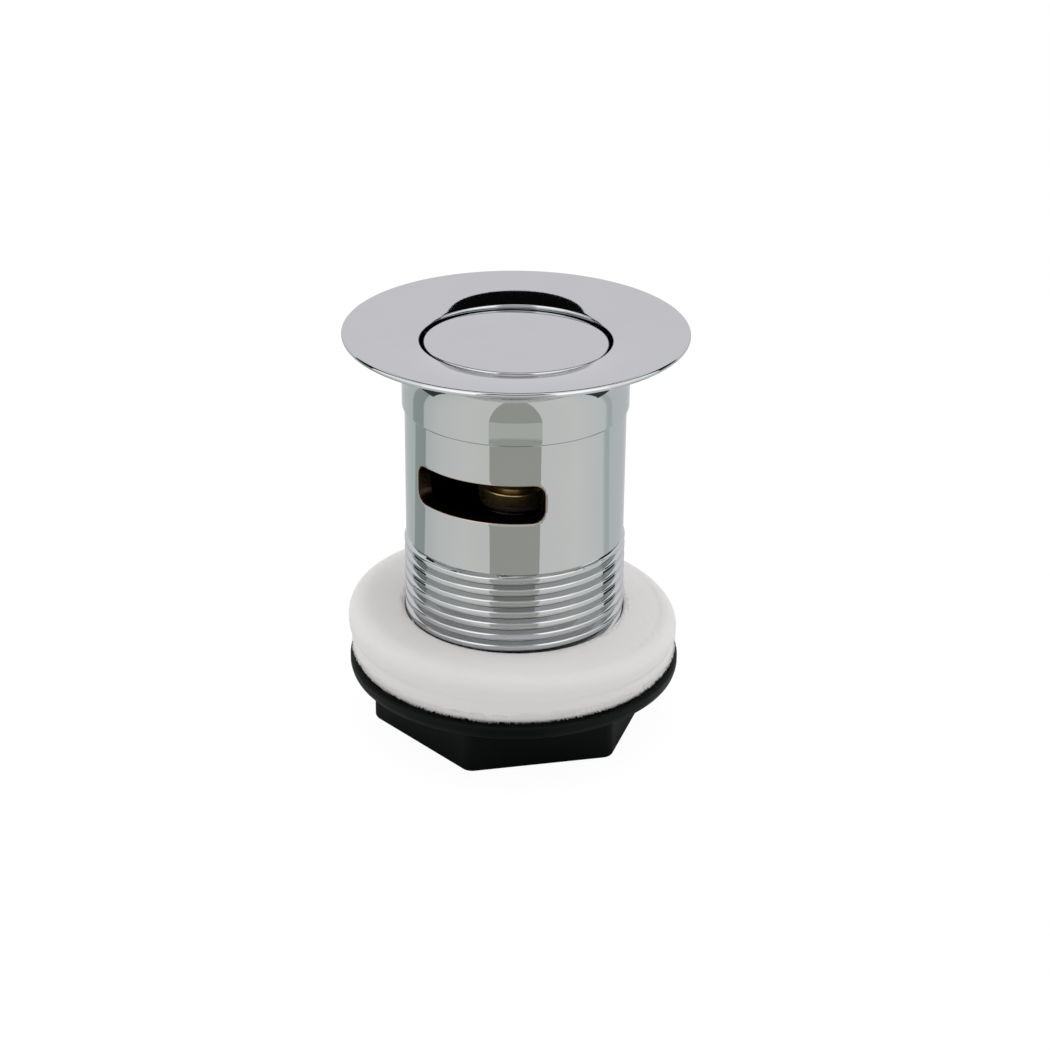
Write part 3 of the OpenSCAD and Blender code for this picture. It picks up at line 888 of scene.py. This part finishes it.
@dataclass
class LatchCartridge:
    """What shows of the latch below the plug, and the spring inside it."""

    sleeve_r: float = 7.1
    sleeve_bore: float = 5.7
    sleeve_top_z: float = 69.0
    roof_z: float = 66.5
    sleeve_foot_z: float = 49.516
    groove_z: tuple[float, float] = (50.416, 51.216)
    groove_r: float = 6.15
    spigot_gap_r: float = 4.05
    post_z: float = 64.208
    guide_r: float = 4.45
    journal_r: float = 3.85
    spring_bore_r: float = 2.7
    shoulder_z: float = 60.058
    clip_z: tuple[float, float] = (62.808, 63.608)
    clip_r: float = 3.45
    spring_foot_z: float = 50.316
    collar_r: float = 6.95
    collar_flats: float = 12.0
    collar_round: float = 0.3
    collar_z: tuple[float, float] = (45.816, 48.416)
    stud_r: float = 4.0
    stud_foot_z: float = 31.816
    washer_r: float = 6.7
    washer_z: tuple[float, float] = (44.816, 45.816)
    locknut_flats: float = 13.0
    locknut_z: tuple[float, float] = (32.816, 36.816)
    wire_r: float = 0.35
    coil_r: float = 2.15
    turns: int = 10

    def build(self) -> list[Object]:
        """Makes the sleeve, the post with its washer and locknut, and the spring."""
        return [self.sleeve(), self.post(), self.washer(), self.locknut(), self.spring()]

    def sleeve(self) -> Object:
        """Turns the sleeve, closed above and open below."""
        work = Shaper()
        corners = [
            (self.spigot_gap_r, self.roof_z, 0.2),
            (self.sleeve_bore, self.roof_z, 0.2),
            (self.sleeve_bore, self.groove_z[1], 0.05),
            (self.groove_r, self.groove_z[1], 0.05),
            (self.groove_r, self.groove_z[0], 0.05),
            (self.sleeve_bore, self.groove_z[0], 0.05),
            (self.sleeve_bore, self.sleeve_foot_z, 0.25),
            (self.sleeve_r, self.sleeve_foot_z, 0.35),
            (self.sleeve_r, self.sleeve_top_z, 0.2),
            (self.spigot_gap_r, self.sleeve_top_z, 0.2),
        ]
        middle = (self.spigot_gap_r, (self.roof_z + self.sleeve_top_z) / 2, 0)
        work.spin(rounded([middle, *corners, middle], 3)[:-1], 96, loop=True)
        made = work.piece("latch_sleeve", [SLEEVE_PLASTIC])
        return settle(made, Body.PLUG, "dark_plastic", "cam_sleeve")

    def post(self) -> Object:
        """Turns the post and its collar, and cuts the collar's two flats."""
        work = Shaper()
        corners = [
            (0, self.stud_foot_z, 0),
            (self.stud_r - 0.8, self.stud_foot_z, 0.1),
            (self.stud_r, self.stud_foot_z + 0.8, 0.1),
            (self.stud_r, self.collar_z[0] + 0.4, 0),
            (0, self.collar_z[0] + 0.4, 0),
        ]
        work.spin(rounded(corners, 3), 72)
        barrel = [
            (0, self.collar_z[1] - 0.4, 0),
            (self.guide_r, self.collar_z[1] - 0.4, 0),
            (self.guide_r, self.shoulder_z, 0.15),
            (self.journal_r, self.shoulder_z, 0.05),
            (self.journal_r, self.clip_z[0], 0.05),
            (self.clip_r, self.clip_z[0], 0.05),
            (self.clip_r, self.clip_z[1], 0.05),
            (self.journal_r, self.clip_z[1], 0.05),
            (self.journal_r, self.post_z, 0.15),
            (self.spring_bore_r, self.post_z, 0.15),
            (self.spring_bore_r, self.spring_foot_z, 0.2),
            (0, self.spring_foot_z, 0),
        ]
        work.spin(rounded(barrel, 3), 72)
        self.add_collar(work)
        made = work.piece("brass_post", [SHADE_DARKENED_BRASS], sharp=30)
        return settle(made, Body.BODY, "bare_brass", "latch_post")

    def add_collar(self, work: Shaper) -> None:
        """Adds the collar: a disc with two flats and broken edges."""
        low, high = self.collar_z
        disc = Shaper()
        rim = [(self.collar_r, z, self.collar_round) for z in (low, high)]
        disc.spin(rounded([(0, low, 0), *rim, (0, high, 0)], 3), 96)
        for side in (1, -1):
            cut = bmesh.ops.bisect_plane(
                disc.bm,
                geom=disc.bm.verts[:] + disc.bm.edges[:] + disc.bm.faces[:],
                dist=1e-7,
                plane_co=(side * self.collar_flats / 2 * MM, 0, 0),
                plane_no=(side, 0, 0),
                clear_outer=True,
            )
            bmesh.ops.holes_fill(disc.bm, edges=[g for g in cut["geom_cut"] if isinstance(g, BMEdge)])
        mesh = bpy.data.meshes.new("collar")
        disc.bm.to_mesh(mesh)
        disc.bm.free()
        work.bm.from_mesh(mesh)
        bpy.data.meshes.remove(mesh)

    def washer(self) -> Object:
        """Turns the fibre washer between collar and boss."""
        work = Shaper()
        low, high = self.washer_z
        hole = self.stud_r + 0.05
        middle = (hole, (low + high) / 2, 0)
        ring = [(hole, low, 0.1), (self.washer_r, low, 0.2), (self.washer_r, high, 0.2), (hole, high, 0.1)]
        work.spin(rounded([middle, *ring, middle], 2)[:-1], 96, loop=True)
        made = work.piece("fibre_washer", [DARK_FIBRE])
        return settle(made, Body.BODY, "dark_fibre", "post_washer")

    def locknut(self) -> Object:
        """Makes the hexagon locknut: a turned blank with its crown chamfers, cut to six flats."""
        work = Shaper()
        low, high = self.locknut_z
        hole, wide = self.stud_r + 0.05, self.locknut_flats / 2 * 1.1
        middle = (hole, (low + high) / 2, 0)
        blank = [(hole + 0.4, low, 0), (wide - 0.7, low, 0), (wide, low + 0.4, 0), (wide, high - 0.4, 0)]
        blank += [(wide - 0.7, high, 0), (hole + 0.4, high, 0), (hole, high - 0.4, 0)]
        work.spin([p[:2] for p in (middle, (hole, low + 0.4, 0), *blank)], 96, loop=True)
        for k in range(6):
            angle = math.pi / 3 * k + math.pi / 6
            way = Vector((math.cos(angle), math.sin(angle), 0))
            cut = bmesh.ops.bisect_plane(
                work.bm,
                geom=work.bm.verts[:] + work.bm.edges[:] + work.bm.faces[:],
                dist=1e-7,
                plane_co=way * (self.locknut_flats / 2 * MM),
                plane_no=way,
                clear_outer=True,
            )
            bmesh.ops.holes_fill(work.bm, edges=[g for g in cut["geom_cut"] if isinstance(g, BMEdge)])
        made = work.piece("brass_locknut", [SHADE_DARKENED_BRASS], sharp=25)
        return settle(made, Body.BODY, "bare_brass", "stud_locknut")

    def spring(self) -> Object:
        """Winds the return spring, with a closed turn at each end."""
        work = Shaper()
        low = self.spring_foot_z + self.wire_r + 0.05
        high = self.roof_z - self.wire_r - 0.05
        dead = 2.2 * self.wire_r
        wire = bmesh.ops.create_circle(work.bm, cap_ends=True, radius=self.wire_r * MM, segments=10)
        ring = wire["verts"]
        place = Matrix.Translation((self.coil_r * MM, 0, low * MM)) @ Matrix.Rotation(math.pi / 2, 4, "X")
        bmesh.ops.transform(work.bm, verts=ring, matrix=place)
        first = list(dict.fromkeys(f for v in ring for f in v.link_faces))
        last: list = first + edges_at(ring) + list(ring)
        rest = self.turns - 2
        for turns, climb in ((1, dead), (rest, high - low - 2 * dead), (1, dead)):
            steps = 32 * turns
            last = bmesh.ops.spin(
                work.bm,
                geom=last,
                cent=(0, 0, 0),
                axis=(0, 0, 1),
                dvec=(0, 0, climb * MM / steps),
                angle=math.tau * turns,
                steps=steps,
            )["geom_last"]
        made = work.piece("coil_spring", [SPRING_STEEL], sharp=60)
        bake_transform(made)
        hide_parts("return_spring")
        LOG.info("%s: %d faces between body and plug", made.name, len(made.data.polygons))
        return made


# Foam washer and backnut


@dataclass
class FoamWasher:
    """The soft washer: a ring of foam with a crease round its side and a fuzzy skin."""

    hole_r: float = 21.0
    outer_r: float = 31.4
    foot_z: float = 13.0
    top_z: float = 22.4
    top_round: float = 3.0
    foot_round: float = 2.0
    crease_z: float = 17.2
    crease: float = 0.4
    plump: float = 0.6
    lean: float = 1.4
    lean_way: float = -168.0
    bulge: float = 0.4
    side_r: float = 27.5
    side_blend: float = 2.5
    crease_width: float = 0.55
    tuck: float = 0.3
    tuck_reach: float = 1.2
    level_reach: float = 7.0
    fuzz: float = 0.09
    hair: float = 0.5
    hair_seed: int = 7
    hair_inset: float = 0.11
    hair_tip: float = 0.25
    columns: int = 460
    rows: float = 0.34

    def line(self) -> list[Point]:
        """Draws the ring's section in short even steps, so that the skin can be roughened."""
        middle = (self.hole_r, (self.foot_z + self.top_z) / 2, 0)
        corners = [
            middle,
            (self.hole_r, self.foot_z, 0.3),
            (self.outer_r, self.foot_z, self.foot_round),
            (self.outer_r, self.top_z, self.top_round),
            (self.hole_r, self.top_z, 0.6),
            middle,
        ]
        rough = [Vector(p) for p in rounded(corners, 8, hold=0.01)]
        even = [rough[0]]
        for a, b in zip(rough, rough[1:], strict=False):
            parts = max(1, round((b - a).length / self.rows))
            even += [a.lerp(b, k / parts) for k in range(1, parts + 1)]
        return [(p.x, p.y) for p in even[:-1]]

    def build(self) -> Object:
        """Makes the washer and sets it on its body."""
        work = Shaper()
        work.spin(self.line(), self.columns, loop=True)
        bmesh.ops.recalc_face_normals(work.bm, faces=work.bm.faces)
        work.bm.normal_update()
        for v in work.bm.verts:
            v.co += self.swell(v.co) * MM + v.normal * self.roughen(v.co) * MM
        work.bm.normal_update()
        self.add_hairs(work)
        made = settle(work.piece("foam_ring", [FOAM], sharp=180), Body.WASHER, "white_foam", "foam_washer")
        return made

    def add_hairs(self, work: Shaper) -> None:
        """Draws short hairs out of the skin round the hole and along the foot."""
        noise.seed_set(self.hair_seed)
        chosen = [f for f in work.bm.faces if self.hairy(f.calc_center_median(), f.normal)]
        inset = self.hair_inset * MM
        bmesh.ops.inset_individual(work.bm, faces=chosen, thickness=inset, use_even_offset=True)
        made = bmesh.ops.extrude_discrete_faces(work.bm, faces=chosen)["faces"]
        for f in made:
            at, out = f.calc_center_median(), f.normal.copy()
            droop = Vector((0, 0, -0.4 if at.z < self.crease_z * MM else 0.1))
            way = (out + noise.noise_vector(at * 3000) * 0.8 + droop).normalized()
            reach = way * self.hair * MM * (0.75 + 0.5 * noise.noise(at * 4100))
            for v in f.verts:
                v.co = at + (v.co - at) * self.hair_tip + reach

    def hairy(self, at: Vector, out: Vector) -> bool:
        """Whether a face of the skin carries a hair."""
        r, z = math.hypot(at.x, at.y) / MM, at.z / MM
        foot = self.foot_z + 0.25 < z < self.foot_z + 2.6 and r > self.outer_r - 2.4 and out.z < 0.35
        mouth = r < self.hole_r + 1.4 and z > self.top_z - 1.0 and out.z > 0.3
        level = noise.noise(at * 6100)
        return (foot and level > -0.12) or (mouth and level > 0.0)

    def swell(self, at: Vector) -> Vector:
        """How the crease pulls the side in and how the washer is thicker on one side, in millimetres."""
        r, z = math.hypot(at.x, at.y) / MM, at.z / MM
        out = Vector((at.x, at.y, 0)).normalized()
        side = min(1.0, max(0.0, (r - self.side_r) / self.side_blend))
        dip = math.exp(-(((z - self.crease_z) / self.crease_width) ** 2))
        below = self.tuck * min(1.0, max(0.0, (self.crease_z - z) / self.tuck_reach))
        way = math.cos(math.atan2(at.y, at.x) - math.radians(self.lean_way))
        up = (z - self.foot_z) / (self.top_z - self.foot_z)
        away = min(1.0, max(0.0, (r - self.hole_r) / self.level_reach))
        rise = up * (self.plump + self.lean * way * away)
        fat = self.bulge * (1 + way) * up
        return out * (fat - self.crease * dip - below) * side + Vector((0, 0, rise))

    def roughen(self, at: Vector) -> float:
        """Height of the fuzz, in millimetres; it stays low where the washer rests or is threaded."""
        r, z = math.hypot(at.x, at.y) / MM, at.z / MM
        free = min(1.0, max(0.0, (z - self.foot_z) / 0.4)) * min(1.0, max(0.15, (r - self.hole_r) / 0.5))
        fine = noise.noise(at * 2600) * 0.6 + noise.noise(at * 1100) * 0.4
        slow = noise.noise(at * 90)
        return free * (self.fuzz * (fine - 0.6) + 0.08 * (slow - 0.5))


@dataclass
class Backnut:
    """The plastic backnut: a hexagon with round corners below a thin round flange."""

    flats: float = 48.0
    corner: float = 2.0
    turn: float = 34.0
    height: float = 13.0
    flange_r: float = 31.75
    flange_thick: float = 2.5
    hole_r: float = 21.055
    hole_chamfer: float = 0.6
    overlap: float = 0.6
    foot_round: float = 0.9

    def build(self) -> Object:
        """Makes the hexagon and the flange and sets them on the nut."""
        work = Shaper()
        self.hexagon(work)
        low, high = self.height - self.flange_thick, self.height
        middle = (self.hole_r, (low + high) / 2, 0)
        corners = [
            middle,
            (self.hole_r, low, 0.1),
            (self.flange_r - 0.25, low, 0.35),
            (self.flange_r, low + 0.9, 0.3),
            (self.flange_r, high, 0.5),
            (self.hole_r, high, 0.4),
            middle,
        ]
        work.spin(rounded(corners, 5)[:-1], loop=True)
        made = work.piece("hex_backnut", [NUT_PLASTIC], sharp=50)
        return settle(made, Body.NUT, "black_plastic", "backnut")

    def hexagon(self, work: Shaper) -> None:
        """Makes the hexagon from six points: round the corners, raise the sides and open the hole."""
        top = self.height - self.flange_thick + self.overlap
        wide = self.flats / 2 / math.cos(math.pi / 6)
        ring = bmesh.ops.create_circle(work.bm, radius=wide * MM, segments=6)["verts"]
        turn = Matrix.Rotation(math.radians(self.turn) - math.atan2(ring[0].co.y, ring[0].co.x), 3, "Z")
        bmesh.ops.rotate(work.bm, verts=ring, cent=(0, 0, 0), matrix=turn)
        bmesh.ops.bevel(
            work.bm,
            geom=ring,
            offset=self.corner * math.tan(math.pi / 6) * MM,
            affect="VERTICES",
            segments=6,
            profile=0.5,
            material=-1,
        )
        bmesh.ops.translate(work.bm, verts=work.bm.verts[:], vec=(0, 0, self.foot_round * MM))
        side = work.bm.edges[:]
        verts, upper = work.grow(side)
        bmesh.ops.translate(work.bm, verts=verts, vec=(0, 0, (top - self.foot_round) * MM))
        lower, inset = side, 0.0
        for k in range(1, 5):
            angle = math.pi / 8 * k
            deep = self.foot_round * (1 - math.cos(angle))
            verts, lower = work.grow(lower)
            size = (self.flats / 2 - deep) / (self.flats / 2 - inset)
            drop = self.foot_round * (1 - math.sin(angle)) * MM
            for v in verts:
                v.co = Vector((v.co.x * size, v.co.y * size, drop))
            inset = deep
        mouth_r = self.hole_r + self.hole_chamfer
        hole = bmesh.ops.create_circle(work.bm, radius=mouth_r * MM, segments=96)["verts"]
        mouth = edges_at(hole)
        work.bridge(lower + mouth)
        for z in (self.hole_chamfer, top):
            verts, mouth = work.grow(mouth)
            for v in verts:
                out = Vector((v.co.x, v.co.y, 0)).normalized()
                v.co = out * (self.hole_r * MM) + Vector((0, 0, z * MM))
        work.bridge(upper + mouth)


# CAD nodes that stay, the studio and the camera


HIDDEN_FINISHES: dict[str, Finish] = {
    "upper_cam": CAM_PLASTIC,
    "lower_cam": CAM_PLASTIC,
    "sleeve_clip": SPRING_STEEL,
    "index_rotor": ROTOR_PLASTIC,
    "rotor_clip": SPRING_STEEL,
}


def dress_hidden(nodes: dict[str, Object]) -> None:
    """Gives the latch's inner CAD nodes their finishes."""
    for name, finish in HIDDEN_FINISHES.items():
        mesh = nodes[name].data
        mesh.materials.clear()
        mesh.materials.append(finish.material())
        LOG.info("%s: finished in %s", name, finish.name)


@dataclass
class Card:
    """A studio card that is seen only in polished metal: a band that is turned about an upright axis."""

    name: str
    inner: Point
    outer: Point
    start: float
    end: float
    level: Colour
    strength: float = 1.0
    apex: float = 0.0
    facet: float = 4.0

    def build(self, facing: float) -> Object:
        """Makes the card.

        Args:
            facing: Direction of the camera round the object, degrees; the card's angles count from it.

        Returns:
            The card, which is part of the stage.
        """
        bm = bmesh.new()
        self.draw(bm)
        bmesh.ops.translate(bm, verts=bm.verts[:], vec=(self.apex, 0, 0))
        turn = Matrix.Rotation(math.radians(facing), 3, "Z")
        bmesh.ops.rotate(bm, verts=bm.verts[:], cent=(0, 0, 0), matrix=turn)
        mesh = bpy.data.meshes.new(self.name)
        bm.to_mesh(mesh)
        bm.free()
        mesh.materials.append(self.material())
        made = bpy.data.objects.new(self.name, mesh)
        bpy.context.scene.collection.objects.link(made)
        show(made, Seen.BY_MIRRORS)
        return made

    def draw(self, bm: BMesh) -> None:
        """Turns the band about its axis, with the camera along X."""
        verts = [bm.verts.new((r, 0, z)) for r, z in (self.inner, self.outer)]
        edge = bm.edges.new(verts)
        turn = Matrix.Rotation(math.radians(self.start), 3, "Z")
        bmesh.ops.rotate(bm, verts=verts, cent=(0, 0, 0), matrix=turn)
        steps = max(2, round((self.end - self.start) / self.facet))
        span = math.radians(self.end - self.start)
        bmesh.ops.spin(bm, geom=[*verts, edge], cent=(0, 0, 0), axis=(0, 0, 1), angle=span, steps=steps)

    def material(self) -> Material:
        """A plain glowing grey."""
        made = bpy.data.materials.new(self.name)
        made.use_nodes = True
        tree = made.node_tree
        tree.nodes.clear()
        glow = tree.nodes.new("ShaderNodeEmission")
        glow.inputs["Color"].default_value = (*self.level, 1)
        glow.inputs["Strength"].default_value = self.strength
        out = tree.nodes.new("ShaderNodeOutputMaterial")
        tree.links.new(glow.outputs[0], out.inputs["Surface"])
        return made


@dataclass
class Panel(Card):
    """A level card with straight sides, whose start and end are its reach to each side."""

    flare: float = 0.0

    def draw(self, bm: BMesh) -> None:
        """Draws the corners, with the camera along X; the inner edge bends outwards to its ends."""
        (near, z), (far, _) = self.inner, self.outer
        ends = [(near, self.start * 0.4), (near, self.end * 0.4), (near - self.flare, self.end)]
        ends += [(far, self.end), (far, self.start), (near - self.flare, self.start)]
        bm.faces.new([bm.verts.new((x, y, z)) for x, y in ends])


@dataclass
class Wheel(Card):
    """A band whose tone changes with its angle, from stop to stop."""

    stops: tuple[tuple[float, Colour], ...] = ()

    def draw(self, bm: BMesh) -> None:
        """Turns the band and gives each point its tone."""
        super().draw(bm)
        layer = bm.verts.layers.float_color.new("tone")
        for v in bm.verts:
            v[layer] = (*self.tone(math.degrees(math.atan2(v.co.y, v.co.x))), 1)

    def tone(self, angle: float) -> Colour:
        """The colour at an angle, in degrees from the camera."""
        for (before, low), (after, high) in zip(self.stops, self.stops[1:], strict=False):
            if before <= angle <= after:
                share = (angle - before) / (after - before)
                return tuple(a + (b - a) * share for a, b in zip(low, high, strict=True))
        return self.level

    def material(self) -> Material:
        """A glow that takes its colour from the points."""
        made = super().material()
        tree = made.node_tree
        tone = tree.nodes.new("ShaderNodeAttribute")
        tone.attribute_name = "tone"
        tree.links.new(tone.outputs["Color"], tree.nodes["Emission"].inputs["Color"])
        return made


def show(piece: Object, seen: Seen) -> None:
    """Says which rays see a piece of the studio."""
    if seen is Seen.BY_MIRRORS:
        piece.visible_camera = False
        piece.visible_diffuse = False
        piece.visible_shadow = False
        piece.visible_transmission = False
        piece.visible_volume_scatter = False


DUSK: Colour = (0.49, 0.5, 0.455)
TEAL: Colour = (0.05, 0.065, 0.065)
MIST: Colour = (0.66, 0.69, 0.65)


@dataclass
class Studio:
    """White floor and surroundings, soft lamps, and cards on the floor and far off for chrome to reflect."""

    facing: float = -68.0
    ambient: float = 0.61
    sky: Colour = (1.0, 0.98, 1.02)
    floor_colour: float = 0.85
    floor_white: float = 0.92
    floor_glow: float = 1.04
    floor_r: float = 4.0
    lamp_watts: float = 1.6
    lamp_size: float = 0.6
    lamp_angle: float = 105.0
    lamp_r: float = 0.4
    lamp_z: float = 0.72
    lamp_aim: tuple[float, float, float] = (0, 0, 0.035)
    cards: list[Card] = field(
        default_factory=lambda: [
            Panel("dark_panel", (-0.665, 0.62), (-0.2, 0.62), -0.235, 0.215, grey(0.004), flare=0.055),
            Card("front_right", (0.66, 0.0), (0.66, 1.3), 24.5, 60, grey(1.0), 1.75),
            Card("front_left", (0.66, 0.0), (0.66, 1.3), -60, -24.5, grey(1.0), 1.75),
            Card("side_right", (0.66, 0.0), (0.66, 1.3), 60, 100, grey(1.0), 1.3),
            Card("side_left", (0.66, 0.0), (0.66, 1.3), -100, -60, grey(1.0), 1.3),
            Card("dark_front", (0.66, 0.5), (0.66, 1.2), -24.5, 24.5, grey(0.01)),
            Card("dark_horizon", (0.66, 0.055), (0.66, 0.105), -18, 18, grey(0.01)),
            Card("dark_right", (0.62, 0.0), (0.62, 1.1), 100, 120, grey(0.01)),
            Card("dark_left", (0.62, 0.0), (0.62, 1.1), -120, -100, grey(0.01)),
            # Painted reflections: the floor cards and the floor wheel below glow and are seen only in
            # chrome, giving the floor's reflection darker and lighter zones than the white floor has.
            Card("floor_right", (0.052, 0.0009), (0.087, 0.0009), 94, 116, TEAL),
            Card("floor_left", (0.052, 0.0009), (0.087, 0.0009), -116, -94, TEAL),
            Card("floor_far", (0.156, 0.0009), (0.27, 0.0009), -27.5, 27.5, MIST, apex=0.0162),
            Card("floor_front", (0.016, 0.0009), (0.156, 0.0009), -27.5, 27.5, DUSK, apex=0.0162),
            Wheel(
                "floor_wheel",
                (0.034, 0.0006),
                (1.2, 0.0006),
                -180,
                180,
                grey(0.8),
                facet=1.0,
                stops=(
                    (-180, (0.8, 0.8, 0.8)),
                    (-140, (0.74, 0.79, 0.78)),
                    (-121, (0.7, 0.77, 0.75)),
                    (-119, (0.44, 0.5, 0.48)),
                    (-101, (0.42, 0.48, 0.46)),
                    (-99, (0.72, 0.77, 0.75)),
                    (-78, (0.84, 0.86, 0.83)),
                    (-50, (0.9, 0.9, 0.87)),
                    (-30, (0.88, 0.88, 0.85)),
                    (30, (0.9, 0.9, 0.88)),
                    (60, (0.93, 0.93, 0.9)),
                    (96, (0.84, 0.87, 0.86)),
                    (100, (0.62, 0.68, 0.66)),
                    (106, (0.62, 0.68, 0.66)),
                    (109, (0.76, 0.81, 0.81)),
                    (140, (0.78, 0.81, 0.82)),
                    (180, (0.8, 0.8, 0.8)),
                ),
            ),
        ]
    )

    def build(self) -> None:
        """Sets up the floor, the world, the lamps and the cards."""
        scene = bpy.context.scene
        scene.view_settings.view_transform = "Standard"
        self.floor()
        self.world(scene)
        for name, side in (("left_lamp", -1), ("right_lamp", 1)):
            way = math.radians(self.facing + side * self.lamp_angle)
            self.lamp(name, (self.lamp_r * math.cos(way), self.lamp_r * math.sin(way), self.lamp_z))
        for card in self.cards:
            card.build(self.facing)
        LOG.info("studio: floor, 2 lamps and %d cards", len(self.cards))

    def floor(self) -> None:
        """Makes the pale floor, which stays white to the camera and keeps the shadow."""
        bm = bmesh.new()
        bmesh.ops.create_circle(bm, cap_ends=True, radius=self.floor_r, segments=64)
        mesh = bpy.data.meshes.new("floor")
        bm.to_mesh(mesh)
        bm.free()
        made = bpy.data.materials.new("floor_white")
        made.use_nodes = True
        tree = made.node_tree
        tree.nodes.clear()
        matt = tree.nodes.new("ShaderNodeBsdfDiffuse")
        matt.inputs["Color"].default_value = (*grey(self.floor_colour), 1)
        glow = tree.nodes.new("ShaderNodeEmission")
        glow.inputs["Strength"].default_value = self.floor_glow
        rays = tree.nodes.new("ShaderNodeLightPath")
        share = tree.nodes.new("ShaderNodeMath")
        share.operation = "MULTIPLY"
        share.inputs[1].default_value = self.floor_white
        mix = tree.nodes.new("ShaderNodeMixShader")
        out = tree.nodes.new("ShaderNodeOutputMaterial")
        tree.links.new(rays.outputs["Is Camera Ray"], share.inputs[0])
        tree.links.new(share.outputs[0], mix.inputs["Fac"])
        tree.links.new(matt.outputs[0], mix.inputs[1])
        tree.links.new(glow.outputs[0], mix.inputs[2])
        tree.links.new(mix.outputs[0], out.inputs["Surface"])
        mesh.materials.append(made)
        floor = bpy.data.objects.new("floor", mesh)
        bpy.context.scene.collection.objects.link(floor)
        show(floor, Seen.BY_ALL)

    def world(self, scene: bpy.types.Scene) -> None:
        """White to the camera, to mirrors and through glass; a plain soft light to everything else."""
        world = bpy.data.worlds.new("studio")
        scene.world = world
        world.use_nodes = True
        tree = world.node_tree
        tree.nodes.clear()
        rays = tree.nodes.new("ShaderNodeLightPath")
        either = tree.nodes.new("ShaderNodeMath")
        either.operation = "MAXIMUM"
        any_of = tree.nodes.new("ShaderNodeMath")
        any_of.operation = "MAXIMUM"
        level = tree.nodes.new("ShaderNodeMapRange")
        level.inputs["To Min"].default_value = self.ambient
        level.inputs["To Max"].default_value = 1.0
        glow = tree.nodes.new("ShaderNodeBackground")
        glow.inputs["Color"].default_value = (*self.sky, 1)
        out = tree.nodes.new("ShaderNodeOutputWorld")
        tree.links.new(rays.outputs["Is Camera Ray"], either.inputs[0])
        tree.links.new(rays.outputs["Is Glossy Ray"], either.inputs[1])
        tree.links.new(either.outputs[0], any_of.inputs[0])
        tree.links.new(rays.outputs["Is Transmission Ray"], any_of.inputs[1])
        tree.links.new(any_of.outputs[0], level.inputs["Value"])
        tree.links.new(level.outputs["Result"], glow.inputs["Strength"])
        tree.links.new(glow.outputs[0], out.inputs["Surface"])

    def lamp(self, name: str, place: tuple[float, float, float]) -> None:
        """Adds a soft lamp that points at the object and doesn't show in it."""
        data = bpy.data.lights.new(name, "AREA")
        data.energy, data.shape, data.size = self.lamp_watts, "DISK", self.lamp_size
        lamp = bpy.data.objects.new(name, data)
        lamp.location = place
        lamp.rotation_mode = "QUATERNION"
        lamp.rotation_quaternion = (Vector(self.lamp_aim) - Vector(place)).to_track_quat("-Z", "Y")
        lamp.visible_glossy = False
        bpy.context.scene.collection.objects.link(lamp)


@dataclass
class Viewpoint:
    """The photograph's camera."""

    place: tuple[float, float, float] = (0.15344, -0.37978, 0.2335)
    ahead: tuple[float, float, float] = (-0.334433, 0.839229, -0.42879)
    roll: float = 0.537
    lens: float = 81.74

    def build(self) -> Object:
        """Makes the camera and looks through it."""
        data = bpy.data.cameras.new("photo_camera")
        data.lens, data.sensor_width = self.lens, 36.0
        data.clip_start, data.clip_end = 0.01, 20.0
        camera = bpy.data.objects.new("photo_camera", data)
        look = Vector(self.ahead).to_track_quat("-Z", "Y").to_matrix().to_4x4()
        tilt = Matrix.Rotation(math.radians(self.roll), 4, "Z")
        camera.matrix_world = Matrix.Translation(self.place) @ look @ tilt
        bpy.context.scene.collection.objects.link(camera)
        bpy.context.scene.camera = camera
        return camera


def main() -> None:
    """Loads the frame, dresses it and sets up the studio."""
    logging.basicConfig(level=logging.INFO, format="%(name)s: %(message)s")
    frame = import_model()
    WasteBody().build()
    PushPlug().build()
    LatchCartridge().build()
    FoamWasher().build()
    Backnut().build()
    dress_hidden(frame["nodes"])
    Studio().build()
    Viewpoint().build()


if __name__ == "__main__":
    main()
